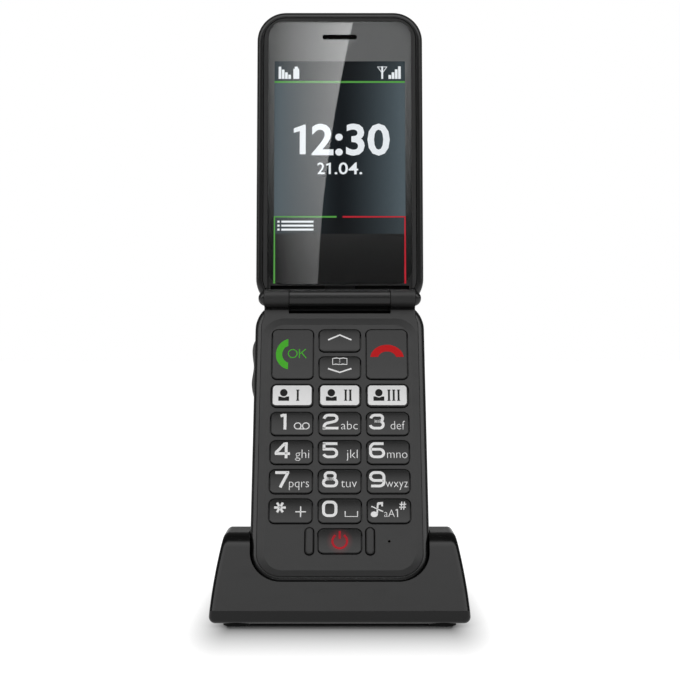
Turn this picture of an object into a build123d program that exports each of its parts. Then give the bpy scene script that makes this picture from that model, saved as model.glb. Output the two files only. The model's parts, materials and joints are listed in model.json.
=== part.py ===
"""Clamshell mobile phone standing open in its charging cradle (millimetres).

Each half of the phone is drawn flat in its own frame: X across, Y along the half with the
hinge axis at the origin, Z out of the face that the user looks at. The lower half lies on
negative Y, the lid on positive Y. Both are then leaned back and set on the cradle.
"""

import os
from math import cos, radians, tan

from build123d import *

# ---- driving dimensions -------------------------------------------------------------------
# outline shared by both halves
HALF_WIDTH = 27.0
HALF_LENGTH = 95.0
END_RADIUS = 9.5
HINGE_END_GAP = 1.0  # square-cut end of each half, from the hinge axis
SEAM_INSET = 2.05  # seam between outer shell and inner face, measured from the side
SEAM_GAP = 0.11
SHELL_FLOOR = 1.2

# stance
BASE_LEAN = 26.5  # lower half, degrees back from upright
LID_OPENING = 160.0  # angle between the two faces when open
SEAT_HEIGHT = 12.88  # lower end of the phone's face above the table
HINGE_HEIGHT = SEAT_HEIGHT + HALF_LENGTH * cos(radians(BASE_LEAN))

# lower half
BASE_DEPTH = 11.4
BASE_BACK_RADIUS = 3.4
BASE_RIM_RADIUS = 1.9
BASE_RIM_DROP = 0.15  # rim of the rear shell below the fascia
BASE_NECK_RADIUS = 10.5
BASE_NECK_START = 9.71
FASCIA_LEVEL = -1.1
PLATEAU_LEVEL = -0.35
PLATEAU_INSET = 4.35
PLATEAU_TOP = -9.4
PLATEAU_END_INSET = 3.7
PLATEAU_BOTTOM = PLATEAU_END_INSET - HALF_LENGTH
PLATEAU_RADIUS = 5.4
BEVEL_TOP = -6.7
PLATE_UNDERSIDE = -2.0
FASCIA_SKIRT_LEVEL = -3.5
FASCIA_WALL = 1.2

# lid
LID_DEPTH = 8.0
LID_BACK_RADIUS = 3.0
LID_RIM_RADIUS = 1.8
LID_NECK_RADIUS = 8.7
LID_NECK_START = 6.5
LID_RIM_LEVEL = -0.25
LID_RIM_DROP = 0.05
LID_SEAM_GAP = 0.25
LENS_LEVEL = -0.75
LENS_THICKNESS = 1.0
LENS_INSET = 3.6
LENS_END_INSET = 3.3
LENS_HALF_WIDTH = HALF_WIDTH - LENS_INSET
LENS_START = 4.82
LENS_END = HALF_LENGTH - LENS_END_INSET
LENS_RADIUS = 5.0
LENS_FIT = 0.05
FRAME_FLOOR = 0.8
DISPLAY_INSET = 2.07  # from the lens
DISPLAY_END_INSET = 16.4
DISPLAY_HALF_WIDTH = LENS_HALF_WIDTH - DISPLAY_INSET
DISPLAY_START = 21.3
DISPLAY_END = HALF_LENGTH - DISPLAY_END_INSET
PANEL_BORDER = 0.6
PANEL_THICKNESS = 1.2
EARPIECE_HALF_WIDTH = 5.67
EARPIECE_HALF_HEIGHT = 0.75
EARPIECE_INSET = 5.12
EARPIECE_SPOT = LENS_END - EARPIECE_INSET
CHASSIS_START = 14.0
CHASSIS_THICKNESS = 0.6
LID_BOARD_START = 48.0
LID_BOARD_THICKNESS = 0.8
FLEX_HALF_WIDTH = 5.0

# hinge
BARREL_RADIUS = 3.0
BARREL_MARGIN = 10.9  # from the side of the phone
BARREL_HALF_LENGTH = HALF_WIDTH - BARREL_MARGIN
KNUCKLE_RADIUS = 2.9
KNUCKLE_MARGIN = 2.8
KNUCKLE_END = HALF_WIDTH - KNUCKLE_MARGIN
COLLAR_RADIUS = 2.6
COLLAR_LENGTH = 0.17
HINGE_SIDE_GAP = 0.25
HINGE_GAP = 0.3
TROUGH_EDGE = -4.88
TROUGH_WALL = 1.2
TROUGH_STEP = 0.4
PIN_RADIUS = 1.45
PIN_FIT = 0.05
PIN_GRIP = 7.1  # length inside the barrel
PIN_START = BARREL_HALF_LENGTH - PIN_GRIP
CAP_RADIUS = 2.4
CAP_LENGTH = 1.85
CAP_GAP = 0.1
CAP_SPIGOT_RADIUS = 1.4
CAP_SPIGOT_LENGTH = 0.6
KNUCKLE_GROOVE = ((-2.6, 1.1), (-3.6, 1.1), (-3.6, 0.0), (-2.9, -0.45), (-2.6, -0.45))

# keys: three columns and eight equal rows fill the plateau between its margins
KEY_MARGIN = 1.0
KEY_TOP_MARGIN = 1.55
KEY_END_MARGIN = 4.9
KEY_BAR = 1.25
KEY_ROW_BAR = 1.24
KEY_ROWS = 8
KEY_CORNER = 2.0
KEY_GAP = 0.3
KEY_TOP = 0.1
KEY_EDGE = 0.22
KEY_SCOOP = 0.26
KEY_TRAVEL = 0.35
KEY_FLANGE = 0.55
KEY_FLANGE_DEPTH = 0.5
KEY_FLANGE_GAP = 0.3
KEY_PLUNGER_RADIUS = 2.0
KEY_PLUNGER_LENGTH = 0.45
KEY_PLUNGER_GAP = 0.05
GUARD_RIB_GAP = 1.15  # from the power key's opening
GUARD_RIB_WIDTH = 2.35
GUARD_RIB_TOP = 0.3
GUARD_RIB_EDGE = 0.3
GUARD_RIB_GROOVE = 0.35
GUARD_RIB_GROOVE_DEPTH = 0.5
MIC_HOLE_RADIUS = 0.4

# side and rear controls
ROCKER_ROW = (-13.0, -32.3)
ROCKER_LEVELS = (-7.0, -3.9)
ROCKER_PROUD = 0.8
ROCKER_DIP = 0.5
ROCKER_END_DROP = 0.9
ROCKER_GAP = 0.25
ROCKER_FLANGE = 0.6
ROCKER_FLANGE_THICKNESS = 0.5
ROCKER_PIVOT_RADIUS = 0.5
SOS_SPOT = (0.0, -13.0)
SOS_RADIUS = 4.5
SOS_PROUD = 0.6
SOS_TRAVEL = 0.4
SOS_GAP = 0.2
SOS_EDGE = 0.4
SOS_FLANGE = 0.9
SOS_FLANGE_THICKNESS = 0.5
SOS_SWITCH_HALF = 3.0

# inner pieces of the lower half
DOME_SHEET_THICKNESS = 0.25
BOARD_THICKNESS = 1.0
BOARD_INSET = 3.8
BOARD_START = 9.0
BOARD_END_INSET = 7.7
BOARD_HALF_WIDTH = HALF_WIDTH - BOARD_INSET
BOARD_SPAN = (-BOARD_START, BOARD_END_INSET - HALF_LENGTH)
BOARD_MARGIN = 1.2
SHIELD_HEIGHT = 1.6
BATTERY_INSET = 9.0
BATTERY_START = 24.2
BATTERY_END_INSET = 29.8
BATTERY_HALF_WIDTH = HALF_WIDTH - BATTERY_INSET
BATTERY_ROW = (-BATTERY_START, BATTERY_END_INSET - HALF_LENGTH)
BATTERY_THICKNESS = 4.4
BATTERY_CONTACT = 1.8
COVER_MARGIN = 2.0  # battery cover round the battery
COVER_SIDE_MARGIN = 1.5
COVER_HALF_WIDTH = BATTERY_HALF_WIDTH + COVER_SIDE_MARGIN
COVER_RADIUS = 3.0
COVER_GAP = 0.15
COVER_LEDGE = 1.0
COVER_LEDGE_DEPTH = 0.8
SIM_HALF_WIDTH = 12.5
SIM_HALF_LENGTH = 8.0
SCREW_SHANK_RADIUS = 0.65
SCREW_HEAD_RADIUS = 1.6
SCREW_HEAD_HEIGHT = 0.6
SCREW_SINK = 0.2
SCREW_FIT = 0.08
BOSS_RADIUS = 2.2
STANDOFF_HEIGHT = 1.6
BASE_BOSS_INSETS = ((8.5, 6.6), (10.0, 5.2))  # from the side, then from the axis or free end
LID_BOSS_INSETS = ((8.0, 10.2), (8.0, 7.0))
SPEAKER_INSET = 13.6
SPEAKER_SPOT = (HALF_WIDTH - SPEAKER_INSET, -14.6)
SPEAKER_RADIUS = 5.4
SPEAKER_THICKNESS = 3.2
SPEAKER_SLOTS = 4
SPEAKER_SLOT_PITCH = 1.9
SPEAKER_SLOT_WIDTH = 0.9
MOTOR_RADIUS = 2.0
MOTOR_LENGTH = 10.0
MOTOR_INSET = 4.8  # from the board's side
MOTOR_GAP = 7.8  # from the battery
CAN_GAP = 5.3
CAN_SIDE = 3.2
USB_SPOT = -20.0
USB_SIZE = (5.2, 7.6, 2.7)  # depth into the phone, width, height
USB_WALL = 0.4
PAD_PITCH = 9.0
PAD_RADIUS = 1.3

# camera in the back of the lid
CAMERA_INSET = 16.0
CAMERA_SPOT = (0.0, HALF_LENGTH - CAMERA_INSET)
CAMERA_RADIUS = 3.0
WINDOW_RADIUS = 4.2
WINDOW_THICKNESS = 0.8

# cradle; its depths are measured from the front edge
CRADLE_SIDE = 11.75  # beyond each side of the phone
CRADLE_HALF_WIDTH = HALF_WIDTH + CRADLE_SIDE
CRADLE_TAPER = ((1.7, 14.6), (4.94, 29.0))  # lean inwards, height above the underside
CRADLE_UNDERSIDE = 1.0
CRADLE_CREASE = 4.85
CRADLE_SHOULDER = 26.4
CRADLE_DEPTH = 64.0
CRADLE_SHOULDER_DEPTH = 32.4
CRADLE_REAR_TOP = 11.0
CRADLE_FRONT_ROLL = 6.5
CRADLE_BACK_ROLL = 12.0
CRADLE_REAR_ROLL = 5.0
CRADLE_EDGE_RADIUS = 1.9
CRADLE_WALL = 2.2
POCKET_GAP = 0.5
POCKET_FLOOR_GAP = 1.1
POCKET_BACK_GAP = 0.4
LIP_LEVEL = -3.1  # the pocket closes in from here to its lip at the phone's face
LIP_TOP = 0.2
LIP_SIDE_CLOSE = 0.65
LIP_FLOOR_CLOSE = 1.25
SEAT_GAP = 0.3
SEAT_RIB = (15.0, 3.0, 6.0)  # centre across, width, length through the phone's depth
PLATE_THICKNESS = 1.6
PLATE_GAP = 0.15
FOOT_RADIUS = 4.0
FOOT_INSET = 8.15
FOOT_DEPTH = 5.8
FOOT_REAR = 9.0
FOOT_DEPTHS = (FOOT_DEPTH, CRADLE_DEPTH - FOOT_REAR)
CRADLE_BOSS_RADIUS = 3.2
CRADLE_BOSS_TOP = 16.0
CRADLE_SCREW_INSET = 6.2
CRADLE_SCREW_DEPTHS = (21.3, 43.3)
CRADLE_SCREW_RADIUS = 1.0
CRADLE_HEAD_RADIUS = 2.0
CRADLE_HEAD_HEIGHT = 0.65
CONTACT_PIN_RADIUS = 0.9
CONTACT_PIN_FIT = 0.06
CONTACT_PIN_GAP = 0.3
CONTACT_PIN_LENGTH = 4.0
INLET_SIZE = (9.2, 7.4, 3.4)  # width, depth, height
INLET_HEIGHT = 5.8
INLET_WALL = 0.5
INLET_SINK = 0.6
BALLAST_HALF_WIDTH = 23.0
BALLAST_DEPTHS = (23.4, 49.4)
BALLAST_HEIGHT = 6.0
CRADLE_BOARD_HALF_WIDTH = 14.0
CRADLE_BOARD_THICKNESS = 1.2

REACH = 5.0  # how far cuts run past the faces they open

# ---- placing ------------------------------------------------------------------------------
LID_LEAN = BASE_LEAN - (180 - LID_OPENING)
ON_BASE = Pos(0, 0, HINGE_HEIGHT) * Rot(X=90 - BASE_LEAN)
ON_LID = Pos(0, 0, HINGE_HEIGHT) * Rot(X=90 - LID_LEAN)

pieces = {}


def keep(name, shape, place=None):
    """File a finished piece under its node name, in the frame of the whole part."""
    pieces[name] = place * shape if place else shape


# ---- shared forms -------------------------------------------------------------------------
def block(x0, x1, y0, y1, z0, z1):
    """Box between two corners, given in any order."""
    centre = Pos((x0 + x1) / 2, (y0 + y1) / 2, (z0 + z1) / 2)
    return centre * Box(abs(x1 - x0), abs(y1 - y0), abs(z1 - z0))


def disc(x, y, z0, z1, radius):
    """Cylinder along Z between two levels."""
    return Pos(x, y, (z0 + z1) / 2) * Cylinder(radius, abs(z1 - z0))


def rod(x0, x1, radius):
    """Cylinder about the hinge axis between two stations."""
    return Pos((x0 + x1) / 2, 0, 0) * Rot(Y=90) * Cylinder(radius, abs(x1 - x0))


def slab(x, y0, y1, z0, z1, half_width, radius):
    """Plate with rounded corners, centred on x."""
    plan = RectangleRounded(2 * half_width, abs(y1 - y0), radius)
    return Pos(x, (y0 + y1) / 2, min(z0, z1)) * extrude(plan, abs(z1 - z0))


def flare(y0, y1, low, high):
    """Rounded plate that changes size evenly; low and high are (level, half width, radius)."""
    ends = []
    for (top, bottom), (level, half_width, radius) in zip((y0, y1), (low, high)):
        plan = RectangleRounded(2 * half_width, top - bottom, radius)
        ends.append(Pos(0, (top + bottom) / 2, level) * plan)
    return loft(ends, ruled=True)


def both_sides(shape):
    """The shape and its mirror image across the middle of the phone."""
    return [shape, mirror(shape, Plane.YZ)]


def half_form(side, neck, inset, low, high, low_round=0.0, high_round=0.0):
    """One half between two levels, its hinge end shouldered in and cut square.

    side is -1 for the lower half and 1 for the lid, neck the (radius, start) of the
    shoulders, inset the distance inside the outer outline.
    """
    neck_radius, neck_start = neck
    near = neck_start - neck_radius + inset
    far = HALF_LENGTH - inset
    plan = Pos(0, side * (near + far) / 2) * Rectangle(2 * (HALF_WIDTH - inset), far - near)
    hinge_end, free_end = (0, -1) if side > 0 else (-1, 0)
    plan = fillet(plan.vertices().group_by(Axis.Y)[free_end], END_RADIUS - inset)
    plan = fillet(plan.vertices().group_by(Axis.Y)[hinge_end], neck_radius - inset)
    solid = Pos(0, 0, low) * extrude(plan, high - low, dir=(0, 0, 1))
    if low_round:
        solid = fillet(solid.faces().sort_by(Axis.Z)[0].edges(), low_round)
    if high_round:
        solid = fillet(solid.faces().sort_by(Axis.Z)[-1].edges(), high_round)
    cut = side * (HINGE_END_GAP + inset)
    return solid - block(
        -HALF_WIDTH, HALF_WIDTH, cut, -side * neck_radius, low - REACH, high + REACH
    )


def base_form(inset, low, high, low_round=0.0, high_round=0.0):
    neck = (BASE_NECK_RADIUS, BASE_NECK_START)
    return half_form(-1, neck, inset, low, high, low_round, high_round)


def lid_form(inset, low, high, low_round=0.0, high_round=0.0):
    neck = (LID_NECK_RADIUS, LID_NECK_START)
    return half_form(1, neck, inset, low, high, low_round, high_round)


def screw(x, y, z_head, z_tip, direction):
    """Pan-head screw whose shank runs from under the head to the tip."""
    head = disc(x, y, z_head, z_head + direction * SCREW_HEAD_HEIGHT, SCREW_HEAD_RADIUS)
    return head + disc(x, y, z_head, z_tip, SCREW_SHANK_RADIUS)


def cap_form(radius, length, start):
    """Domed cap about the hinge axis, from its flat side at start outwards."""
    ball_radius = (radius**2 + length**2) / (2 * length)
    ball = Pos(start + length - ball_radius, 0, 0) * Rot(Y=90) * Sphere(ball_radius)
    reach = 2 * ball_radius
    return ball - block(start - reach, start, -reach, reach, -reach, reach)


# ---- lower half ---------------------------------------------------------------------------
flange_top = PLATE_UNDERSIDE - KEY_FLANGE_GAP
flange_low = flange_top - KEY_FLANGE_DEPTH
plunger_end = flange_low - KEY_PLUNGER_LENGTH
dome_sheet_top = plunger_end - KEY_TRAVEL - KEY_PLUNGER_GAP
board_top = dome_sheet_top - DOME_SHEET_THICKNESS
board_under = board_top - BOARD_THICKNESS
back_inside = SHELL_FLOOR - BASE_DEPTH
standoff_end = back_inside + STANDOFF_HEIGHT
head_level = SCREW_HEAD_HEIGHT + SCREW_SINK - BASE_DEPTH
knuckle_start = BARREL_HALF_LENGTH + HINGE_SIDE_GAP
trough_radius = BARREL_RADIUS + HINGE_GAP + 0.1
neck_bottom = -(trough_radius + TROUGH_WALL)
neck_end = TROUGH_EDGE - TROUGH_WALL
wall_inside = HALF_WIDTH - SEAM_INSET
(near_side, near_end), (far_side, far_end) = BASE_BOSS_INSETS
base_bosses = ((HALF_WIDTH - near_side, -near_end), (HALF_WIDTH - far_side, far_end - HALF_LENGTH))

plateau_half = HALF_WIDTH - PLATEAU_INSET
key_width = (2 * plateau_half - 2 * KEY_MARGIN - 2 * KEY_BAR) / 3
key_pitch = key_width + KEY_BAR
first_row = PLATEAU_TOP - KEY_TOP_MARGIN
key_field = first_row - (PLATEAU_BOTTOM + KEY_END_MARGIN)
row_pitch = (key_field + KEY_ROW_BAR) / KEY_ROWS


def rows(first, last):
    """Upper and lower edge of an opening that spans whole rows."""
    return (first_row - first * row_pitch, first_row - (last + 1) * row_pitch + KEY_ROW_BAR)


key_centres = (-key_pitch, 0.0, key_pitch)
key_table = {
    "key_ok": (-key_pitch, rows(0, 1)),
    "key_up": (0.0, rows(0, 0)),
    "key_down": (0.0, rows(1, 1)),
    "key_end": (key_pitch, rows(0, 1)),
    "key_power": (0.0, rows(7, 7)),
}
for column, centre in enumerate(key_centres):
    key_table[f"key_memory_{column + 1}"] = (centre, rows(2, 2))
    for row in range(3):
        key_table[f"key_{3 * row + column + 1}"] = (centre, rows(3 + row, 3 + row))
for name, centre in zip(("key_star", "key_0", "key_hash"), key_centres):
    key_table[name] = (centre, rows(6, 6))
mic_spot = (key_pitch, sum(rows(7, 7)) / 2)


def key_cap(centre, row):
    """Key with a scooped top, a captive flange under the fascia and a plunger."""
    top, bottom = row[0] - KEY_GAP, row[1] + KEY_GAP
    middle = (top + bottom) / 2
    half = key_width / 2 - KEY_GAP
    cap = slab(centre, top, bottom, flange_top, KEY_TOP, half, KEY_CORNER - KEY_GAP)
    cap = chamfer(cap.faces().sort_by(Axis.Z)[-1].edges(), KEY_EDGE)
    chord = (top - bottom) / 2 - KEY_EDGE
    scoop_radius = (chord**2 + KEY_SCOOP**2) / (2 * KEY_SCOOP)
    scoop = Rot(Y=90) * Cylinder(scoop_radius, 2 * (half - KEY_EDGE))
    cap -= Pos(centre, middle, KEY_TOP + scoop_radius - KEY_SCOOP) * scoop
    cap += slab(
        centre,
        top + KEY_FLANGE,
        bottom - KEY_FLANGE,
        flange_low,
        flange_top,
        half + KEY_FLANGE,
        KEY_CORNER,
    )
    return cap + disc(centre, middle, plunger_end, flange_low, KEY_PLUNGER_RADIUS)


def guard_rib_form(level_low, level_high, margin):
    """Rounded bar beside the power key, grown by a margin."""
    inner = key_width / 2 + GUARD_RIB_GAP
    half = GUARD_RIB_WIDTH / 2 + margin
    top, bottom = rows(7, 7)
    centre = inner + GUARD_RIB_WIDTH / 2
    return slab(centre, top + margin, bottom - margin, level_low, level_high, half, half - 0.01)


def knuckle_groove():
    """Groove with one sloped side that parts a knuckle from the fascia behind it."""
    corners = [(along, FASCIA_LEVEL + rise) for along, rise in KNUCKLE_GROOVE]
    profile = Plane.YZ * make_face(Polyline(*corners, close=True))
    return Pos(knuckle_start, 0, 0) * extrude(profile, KNUCKLE_END - knuckle_start)


def base_front_shell():
    """Keypad fascia with raised plateau, key openings and the two hinge knuckles."""
    shell = base_form(SEAM_INSET, FASCIA_SKIRT_LEVEL, FASCIA_LEVEL)
    shell += flare(
        (BEVEL_TOP, SEAM_INSET - HALF_LENGTH),
        (PLATEAU_TOP, PLATEAU_BOTTOM),
        (FASCIA_LEVEL, wall_inside, END_RADIUS - SEAM_INSET),
        (PLATEAU_LEVEL, plateau_half, PLATEAU_RADIUS),
    )
    shell -= base_form(SEAM_INSET + FASCIA_WALL, FASCIA_SKIRT_LEVEL, PLATE_UNDERSIDE)

    # hinge end: solid neck, barrel trough and knuckles
    shell += block(
        -KNUCKLE_END, KNUCKLE_END, -HINGE_END_GAP, neck_end, neck_bottom, FASCIA_LEVEL
    )
    for groove in both_sides(knuckle_groove()):
        shell -= groove
    trough_floor = PLATE_UNDERSIDE - TROUGH_STEP
    shell -= block(-knuckle_start, knuckle_start, REACH, TROUGH_EDGE, trough_floor, REACH)
    shell -= rod(-knuckle_start, knuckle_start, trough_radius)
    knuckle = rod(knuckle_start, KNUCKLE_END, KNUCKLE_RADIUS)
    knuckle += rod(knuckle_start - COLLAR_LENGTH, knuckle_start, COLLAR_RADIUS)
    for solid in both_sides(knuckle):
        shell += solid
    for bore in both_sides(rod(knuckle_start - 1, KNUCKLE_END + 1, PIN_RADIUS + PIN_FIT)):
        shell -= bore

    # screw bosses reaching back to the rear shell
    for x, y in base_bosses:
        boss = disc(x, y, standoff_end + 0.05, PLATE_UNDERSIDE, BOSS_RADIUS)
        pilot = disc(x, y, standoff_end, board_top, SCREW_SHANK_RADIUS + SCREW_FIT)
        for solid in both_sides(boss):
            shell += solid
        for hole in both_sides(pilot):
            shell -= hole

    # ribs beside the power key, each in its fine groove
    groove_floor = PLATEAU_LEVEL - GUARD_RIB_GROOVE_DEPTH
    rib = guard_rib_form(groove_floor, GUARD_RIB_TOP, 0)
    rib = chamfer(rib.faces().sort_by(Axis.Z)[-1].edges(), GUARD_RIB_EDGE)
    for cut in both_sides(guard_rib_form(groove_floor, REACH, GUARD_RIB_GROOVE)):
        shell -= cut
    for solid in both_sides(rib):
        shell += solid

    for centre, (top, bottom) in key_table.values():
        low = PLATE_UNDERSIDE - 1
        shell -= slab(centre, top, bottom, low, REACH, key_width / 2, KEY_CORNER)
    shell -= disc(*mic_spot, PLATE_UNDERSIDE - 1, REACH, MIC_HOLE_RADIUS)
    return shell


def rocker_opening():
    """Window in the side wall, with room for the rocker to tilt."""
    top, bottom = ROCKER_ROW
    low, high = ROCKER_LEVELS
    return block(
        -HALF_WIDTH - REACH,
        -wall_inside + 1,
        top + ROCKER_GAP,
        bottom - ROCKER_GAP,
        low - ROCKER_GAP,
        high + ROCKER_GAP,
    )


def charge_pad_form(margin):
    """Contact stud through the free end, facing the cradle."""
    level = back_inside + PAD_RADIUS + 0.8
    length = SEAM_INSET + margin
    y = 0.1 - HALF_LENGTH + length / 2 - margin
    return Pos(PAD_PITCH / 2, y, level) * Rot(X=90) * Cylinder(PAD_RADIUS + margin, length)


cover_row = (BATTERY_ROW[0] + COVER_MARGIN, BATTERY_ROW[1] - COVER_MARGIN)


def base_rear_shell():
    """Tub that wraps the sides up to the seam, with battery opening and rear key."""
    rim_level = FASCIA_LEVEL - BASE_RIM_DROP
    shell = base_form(0, -BASE_DEPTH, rim_level, BASE_BACK_RADIUS, BASE_RIM_RADIUS)
    shell -= base_form(SEAM_INSET - SEAM_GAP, back_inside, REACH)
    neck_room = KNUCKLE_END + SEAM_GAP
    shell -= block(
        -neck_room, neck_room, REACH, neck_end - SEAM_GAP, neck_bottom - SEAM_GAP, REACH
    )

    # opening for the battery cover, with a ledge that carries it
    top, bottom = cover_row
    ledge_level = back_inside + COVER_LEDGE_DEPTH
    outer = COVER_HALF_WIDTH + COVER_LEDGE
    inner = COVER_HALF_WIDTH - COVER_LEDGE
    shell += slab(
        0, top + COVER_LEDGE, bottom - COVER_LEDGE, back_inside, ledge_level, outer, COVER_RADIUS
    )
    shell -= slab(
        0,
        top + COVER_GAP,
        bottom - COVER_GAP,
        -BASE_DEPTH - REACH,
        back_inside + 0.05,
        COVER_HALF_WIDTH + COVER_GAP,
        COVER_RADIUS,
    )
    shell -= slab(
        0,
        top - COVER_LEDGE,
        bottom + COVER_LEDGE,
        back_inside,
        ledge_level + REACH,
        inner,
        COVER_RADIUS,
    )

    for x, y in base_bosses:
        standoff = disc(x, y, back_inside, standoff_end, BOSS_RADIUS)
        counterbore = disc(x, y, -BASE_DEPTH - 1, head_level, SCREW_HEAD_RADIUS + 0.15)
        hole = disc(x, y, -BASE_DEPTH, standoff_end + 1, SCREW_SHANK_RADIUS + SCREW_FIT)
        for solid in both_sides(standoff):
            shell += solid
        for cut in both_sides(counterbore) + both_sides(hole):
            shell -= cut

    shell -= disc(*SOS_SPOT, -BASE_DEPTH - 1, back_inside + 1, SOS_RADIUS + SOS_GAP)
    slot_top = SPEAKER_SPOT[1] + SPEAKER_SLOT_PITCH * (SPEAKER_SLOTS - 1) / 2
    for step in range(SPEAKER_SLOTS):
        y = slot_top - step * SPEAKER_SLOT_PITCH
        shell -= slab(
            SPEAKER_SPOT[0],
            y + SPEAKER_SLOT_WIDTH / 2,
            y - SPEAKER_SLOT_WIDTH / 2,
            -BASE_DEPTH - 1,
            back_inside + 1,
            SPEAKER_RADIUS * 0.75,
            SPEAKER_SLOT_WIDTH / 2 - 0.01,
        )
    shell -= rocker_opening()
    width, height = USB_SIZE[1:]
    shell -= block(
        wall_inside - 1,
        HALF_WIDTH + REACH,
        USB_SPOT + width / 2 + 0.1,
        USB_SPOT - width / 2 - 0.1,
        board_under - height - 0.1,
        board_under + 0.05,
    )
    for pad in both_sides(charge_pad_form(PIN_FIT)):
        shell -= pad
    return shell


keep("base_front_shell", base_front_shell(), ON_BASE)
keep("base_rear_shell", base_rear_shell(), ON_BASE)
for name, (centre, row) in key_table.items():
    keep(name, key_cap(centre, row), ON_BASE)

rocker_flange_start = wall_inside - 0.3
rocker_pivot = (
    ROCKER_FLANGE_THICKNESS - rocker_flange_start,
    sum(ROCKER_ROW) / 2,
    sum(ROCKER_LEVELS) / 2,
)


def volume_rocker():
    """Rocker with two humps, held behind the side wall by a flange with a round pivot."""
    top, bottom = ROCKER_ROW
    low, high = ROCKER_LEVELS
    outer = HALF_WIDTH + ROCKER_PROUD
    middle = (top + bottom) / 2
    quarter = (top - bottom) / 4
    start = outer - ROCKER_END_DROP
    profile = [
        Line((-rocker_flange_start, top), (-start, top)),
        Spline(
            (-start, top),
            (-outer, middle + quarter),
            (-outer + ROCKER_DIP, middle),
            (-outer, middle - quarter),
            (-start, bottom),
        ),
        Line((-start, bottom), (-rocker_flange_start, bottom)),
        Line((-rocker_flange_start, bottom), (-rocker_flange_start, top)),
    ]
    body = Pos(0, 0, low) * extrude(make_face(profile), high - low, dir=(0, 0, 1))
    flange_levels = (low - ROCKER_FLANGE, high + 0.15)
    body += block(
        -rocker_flange_start,
        rocker_pivot[0],
        top + ROCKER_FLANGE,
        bottom - ROCKER_FLANGE,
        *flange_levels,
    )
    return body + disc(*rocker_pivot[:2], *flange_levels, ROCKER_PIVOT_RADIUS)


keep("volume_rocker", volume_rocker(), ON_BASE)

# rear emergency key and its switch
sos_flange_low = back_inside + 0.25
sos_flange_top = sos_flange_low + SOS_FLANGE_THICKNESS
sos_cap = disc(*SOS_SPOT, -BASE_DEPTH - SOS_PROUD, sos_flange_low, SOS_RADIUS)
sos_cap = fillet(sos_cap.faces().sort_by(Axis.Z)[0].edges(), SOS_EDGE)
sos_cap += disc(*SOS_SPOT, sos_flange_low, sos_flange_top, SOS_RADIUS + SOS_FLANGE)
keep("sos_key", sos_cap, ON_BASE)
button_low = sos_flange_top + SOS_TRAVEL + 0.1
button_top = button_low + 0.8
switch = block(
    -SOS_SWITCH_HALF,
    SOS_SWITCH_HALF,
    SOS_SPOT[1] - SOS_SWITCH_HALF,
    SOS_SPOT[1] + SOS_SWITCH_HALF,
    button_top,
    board_under,
)
keep("sos_switch", switch + disc(*SOS_SPOT, button_low, button_top, 1.6), ON_BASE)

cover_corner = COVER_RADIUS - COVER_GAP
cover = slab(0, *cover_row, -BASE_DEPTH, back_inside, COVER_HALF_WIDTH, cover_corner)
keep("battery_cover", cover, ON_BASE)

# board with what sits on its two sides
board_top_edge, board_low_edge = BOARD_SPAN
dome_half = BOARD_HALF_WIDTH - BOARD_MARGIN
dome_sheet = slab(
    0, board_top_edge - 0.8, board_low_edge + 0.3, board_top, dome_sheet_top, dome_half, 2
)
mic_x, mic_y = mic_spot
mic_top = PLATE_UNDERSIDE - 0.3
mic_half = 1.6
mic_room = mic_half + 0.3
dome_sheet -= block(
    mic_x - mic_room, mic_x + mic_room, mic_y - mic_room, mic_y + mic_room, board_top - 1, mic_top
)
keep("key_dome_sheet", dome_sheet, ON_BASE)
microphone = block(
    mic_x - mic_half, mic_x + mic_half, mic_y - mic_half, mic_y + mic_half, board_top, mic_top
)
keep("microphone", microphone, ON_BASE)

shield_low = board_under - SHIELD_HEIGHT
battery_end = BATTERY_ROW[1]
motor_x = MOTOR_INSET - BOARD_HALF_WIDTH + MOTOR_RADIUS
upper_can = block(
    -dome_half,
    -SOS_SWITCH_HALF - 3.5,
    board_top_edge - 1.5,
    BATTERY_ROW[0] + 3.7,
    shield_low,
    board_under,
)
lower_can = block(
    motor_x + MOTOR_RADIUS + BOARD_MARGIN,
    BOARD_HALF_WIDTH - CAN_SIDE,
    battery_end - CAN_GAP,
    board_low_edge + 2.8,
    shield_low,
    board_under,
)
keep("shield_cans", Compound([upper_can, lower_can]), ON_BASE)

battery_low = back_inside + 0.3
battery_top = battery_low + BATTERY_THICKNESS
keep(
    "battery",
    slab(0, *BATTERY_ROW, battery_low, battery_top, BATTERY_HALF_WIDTH, 2),
    ON_BASE,
)
sim_middle = sum(BATTERY_ROW) / 2
sim_top_edge = sim_middle + SIM_HALF_LENGTH
sim_low_edge = sim_middle - SIM_HALF_LENGTH
sim = slab(-4, sim_top_edge, sim_low_edge, battery_top + 0.1, board_under, SIM_HALF_WIDTH, 1)
keep("sim_holder", sim, ON_BASE)
board = slab(0, *BOARD_SPAN, board_under, board_top, BOARD_HALF_WIDTH, 2.5)
contact_start = battery_end - 0.1
for x in (-4, 0, 4):
    board += block(
        x - 1, x + 1, contact_start, contact_start - BATTERY_CONTACT, battery_low + 2.2, board_under
    )
keep("main_board", board, ON_BASE)

speaker_low = back_inside + 0.05
speaker = disc(*SPEAKER_SPOT, speaker_low, speaker_low + SPEAKER_THICKNESS, SPEAKER_RADIUS)
keep("loudspeaker", speaker, ON_BASE)

motor_y = battery_end - MOTOR_GAP - MOTOR_LENGTH / 2
motor = Pos(motor_x, motor_y, board_under - MOTOR_RADIUS - 0.1) * (
    Rot(X=90) * Cylinder(MOTOR_RADIUS, MOTOR_LENGTH)
)
keep("vibration_motor", motor, ON_BASE)

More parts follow.
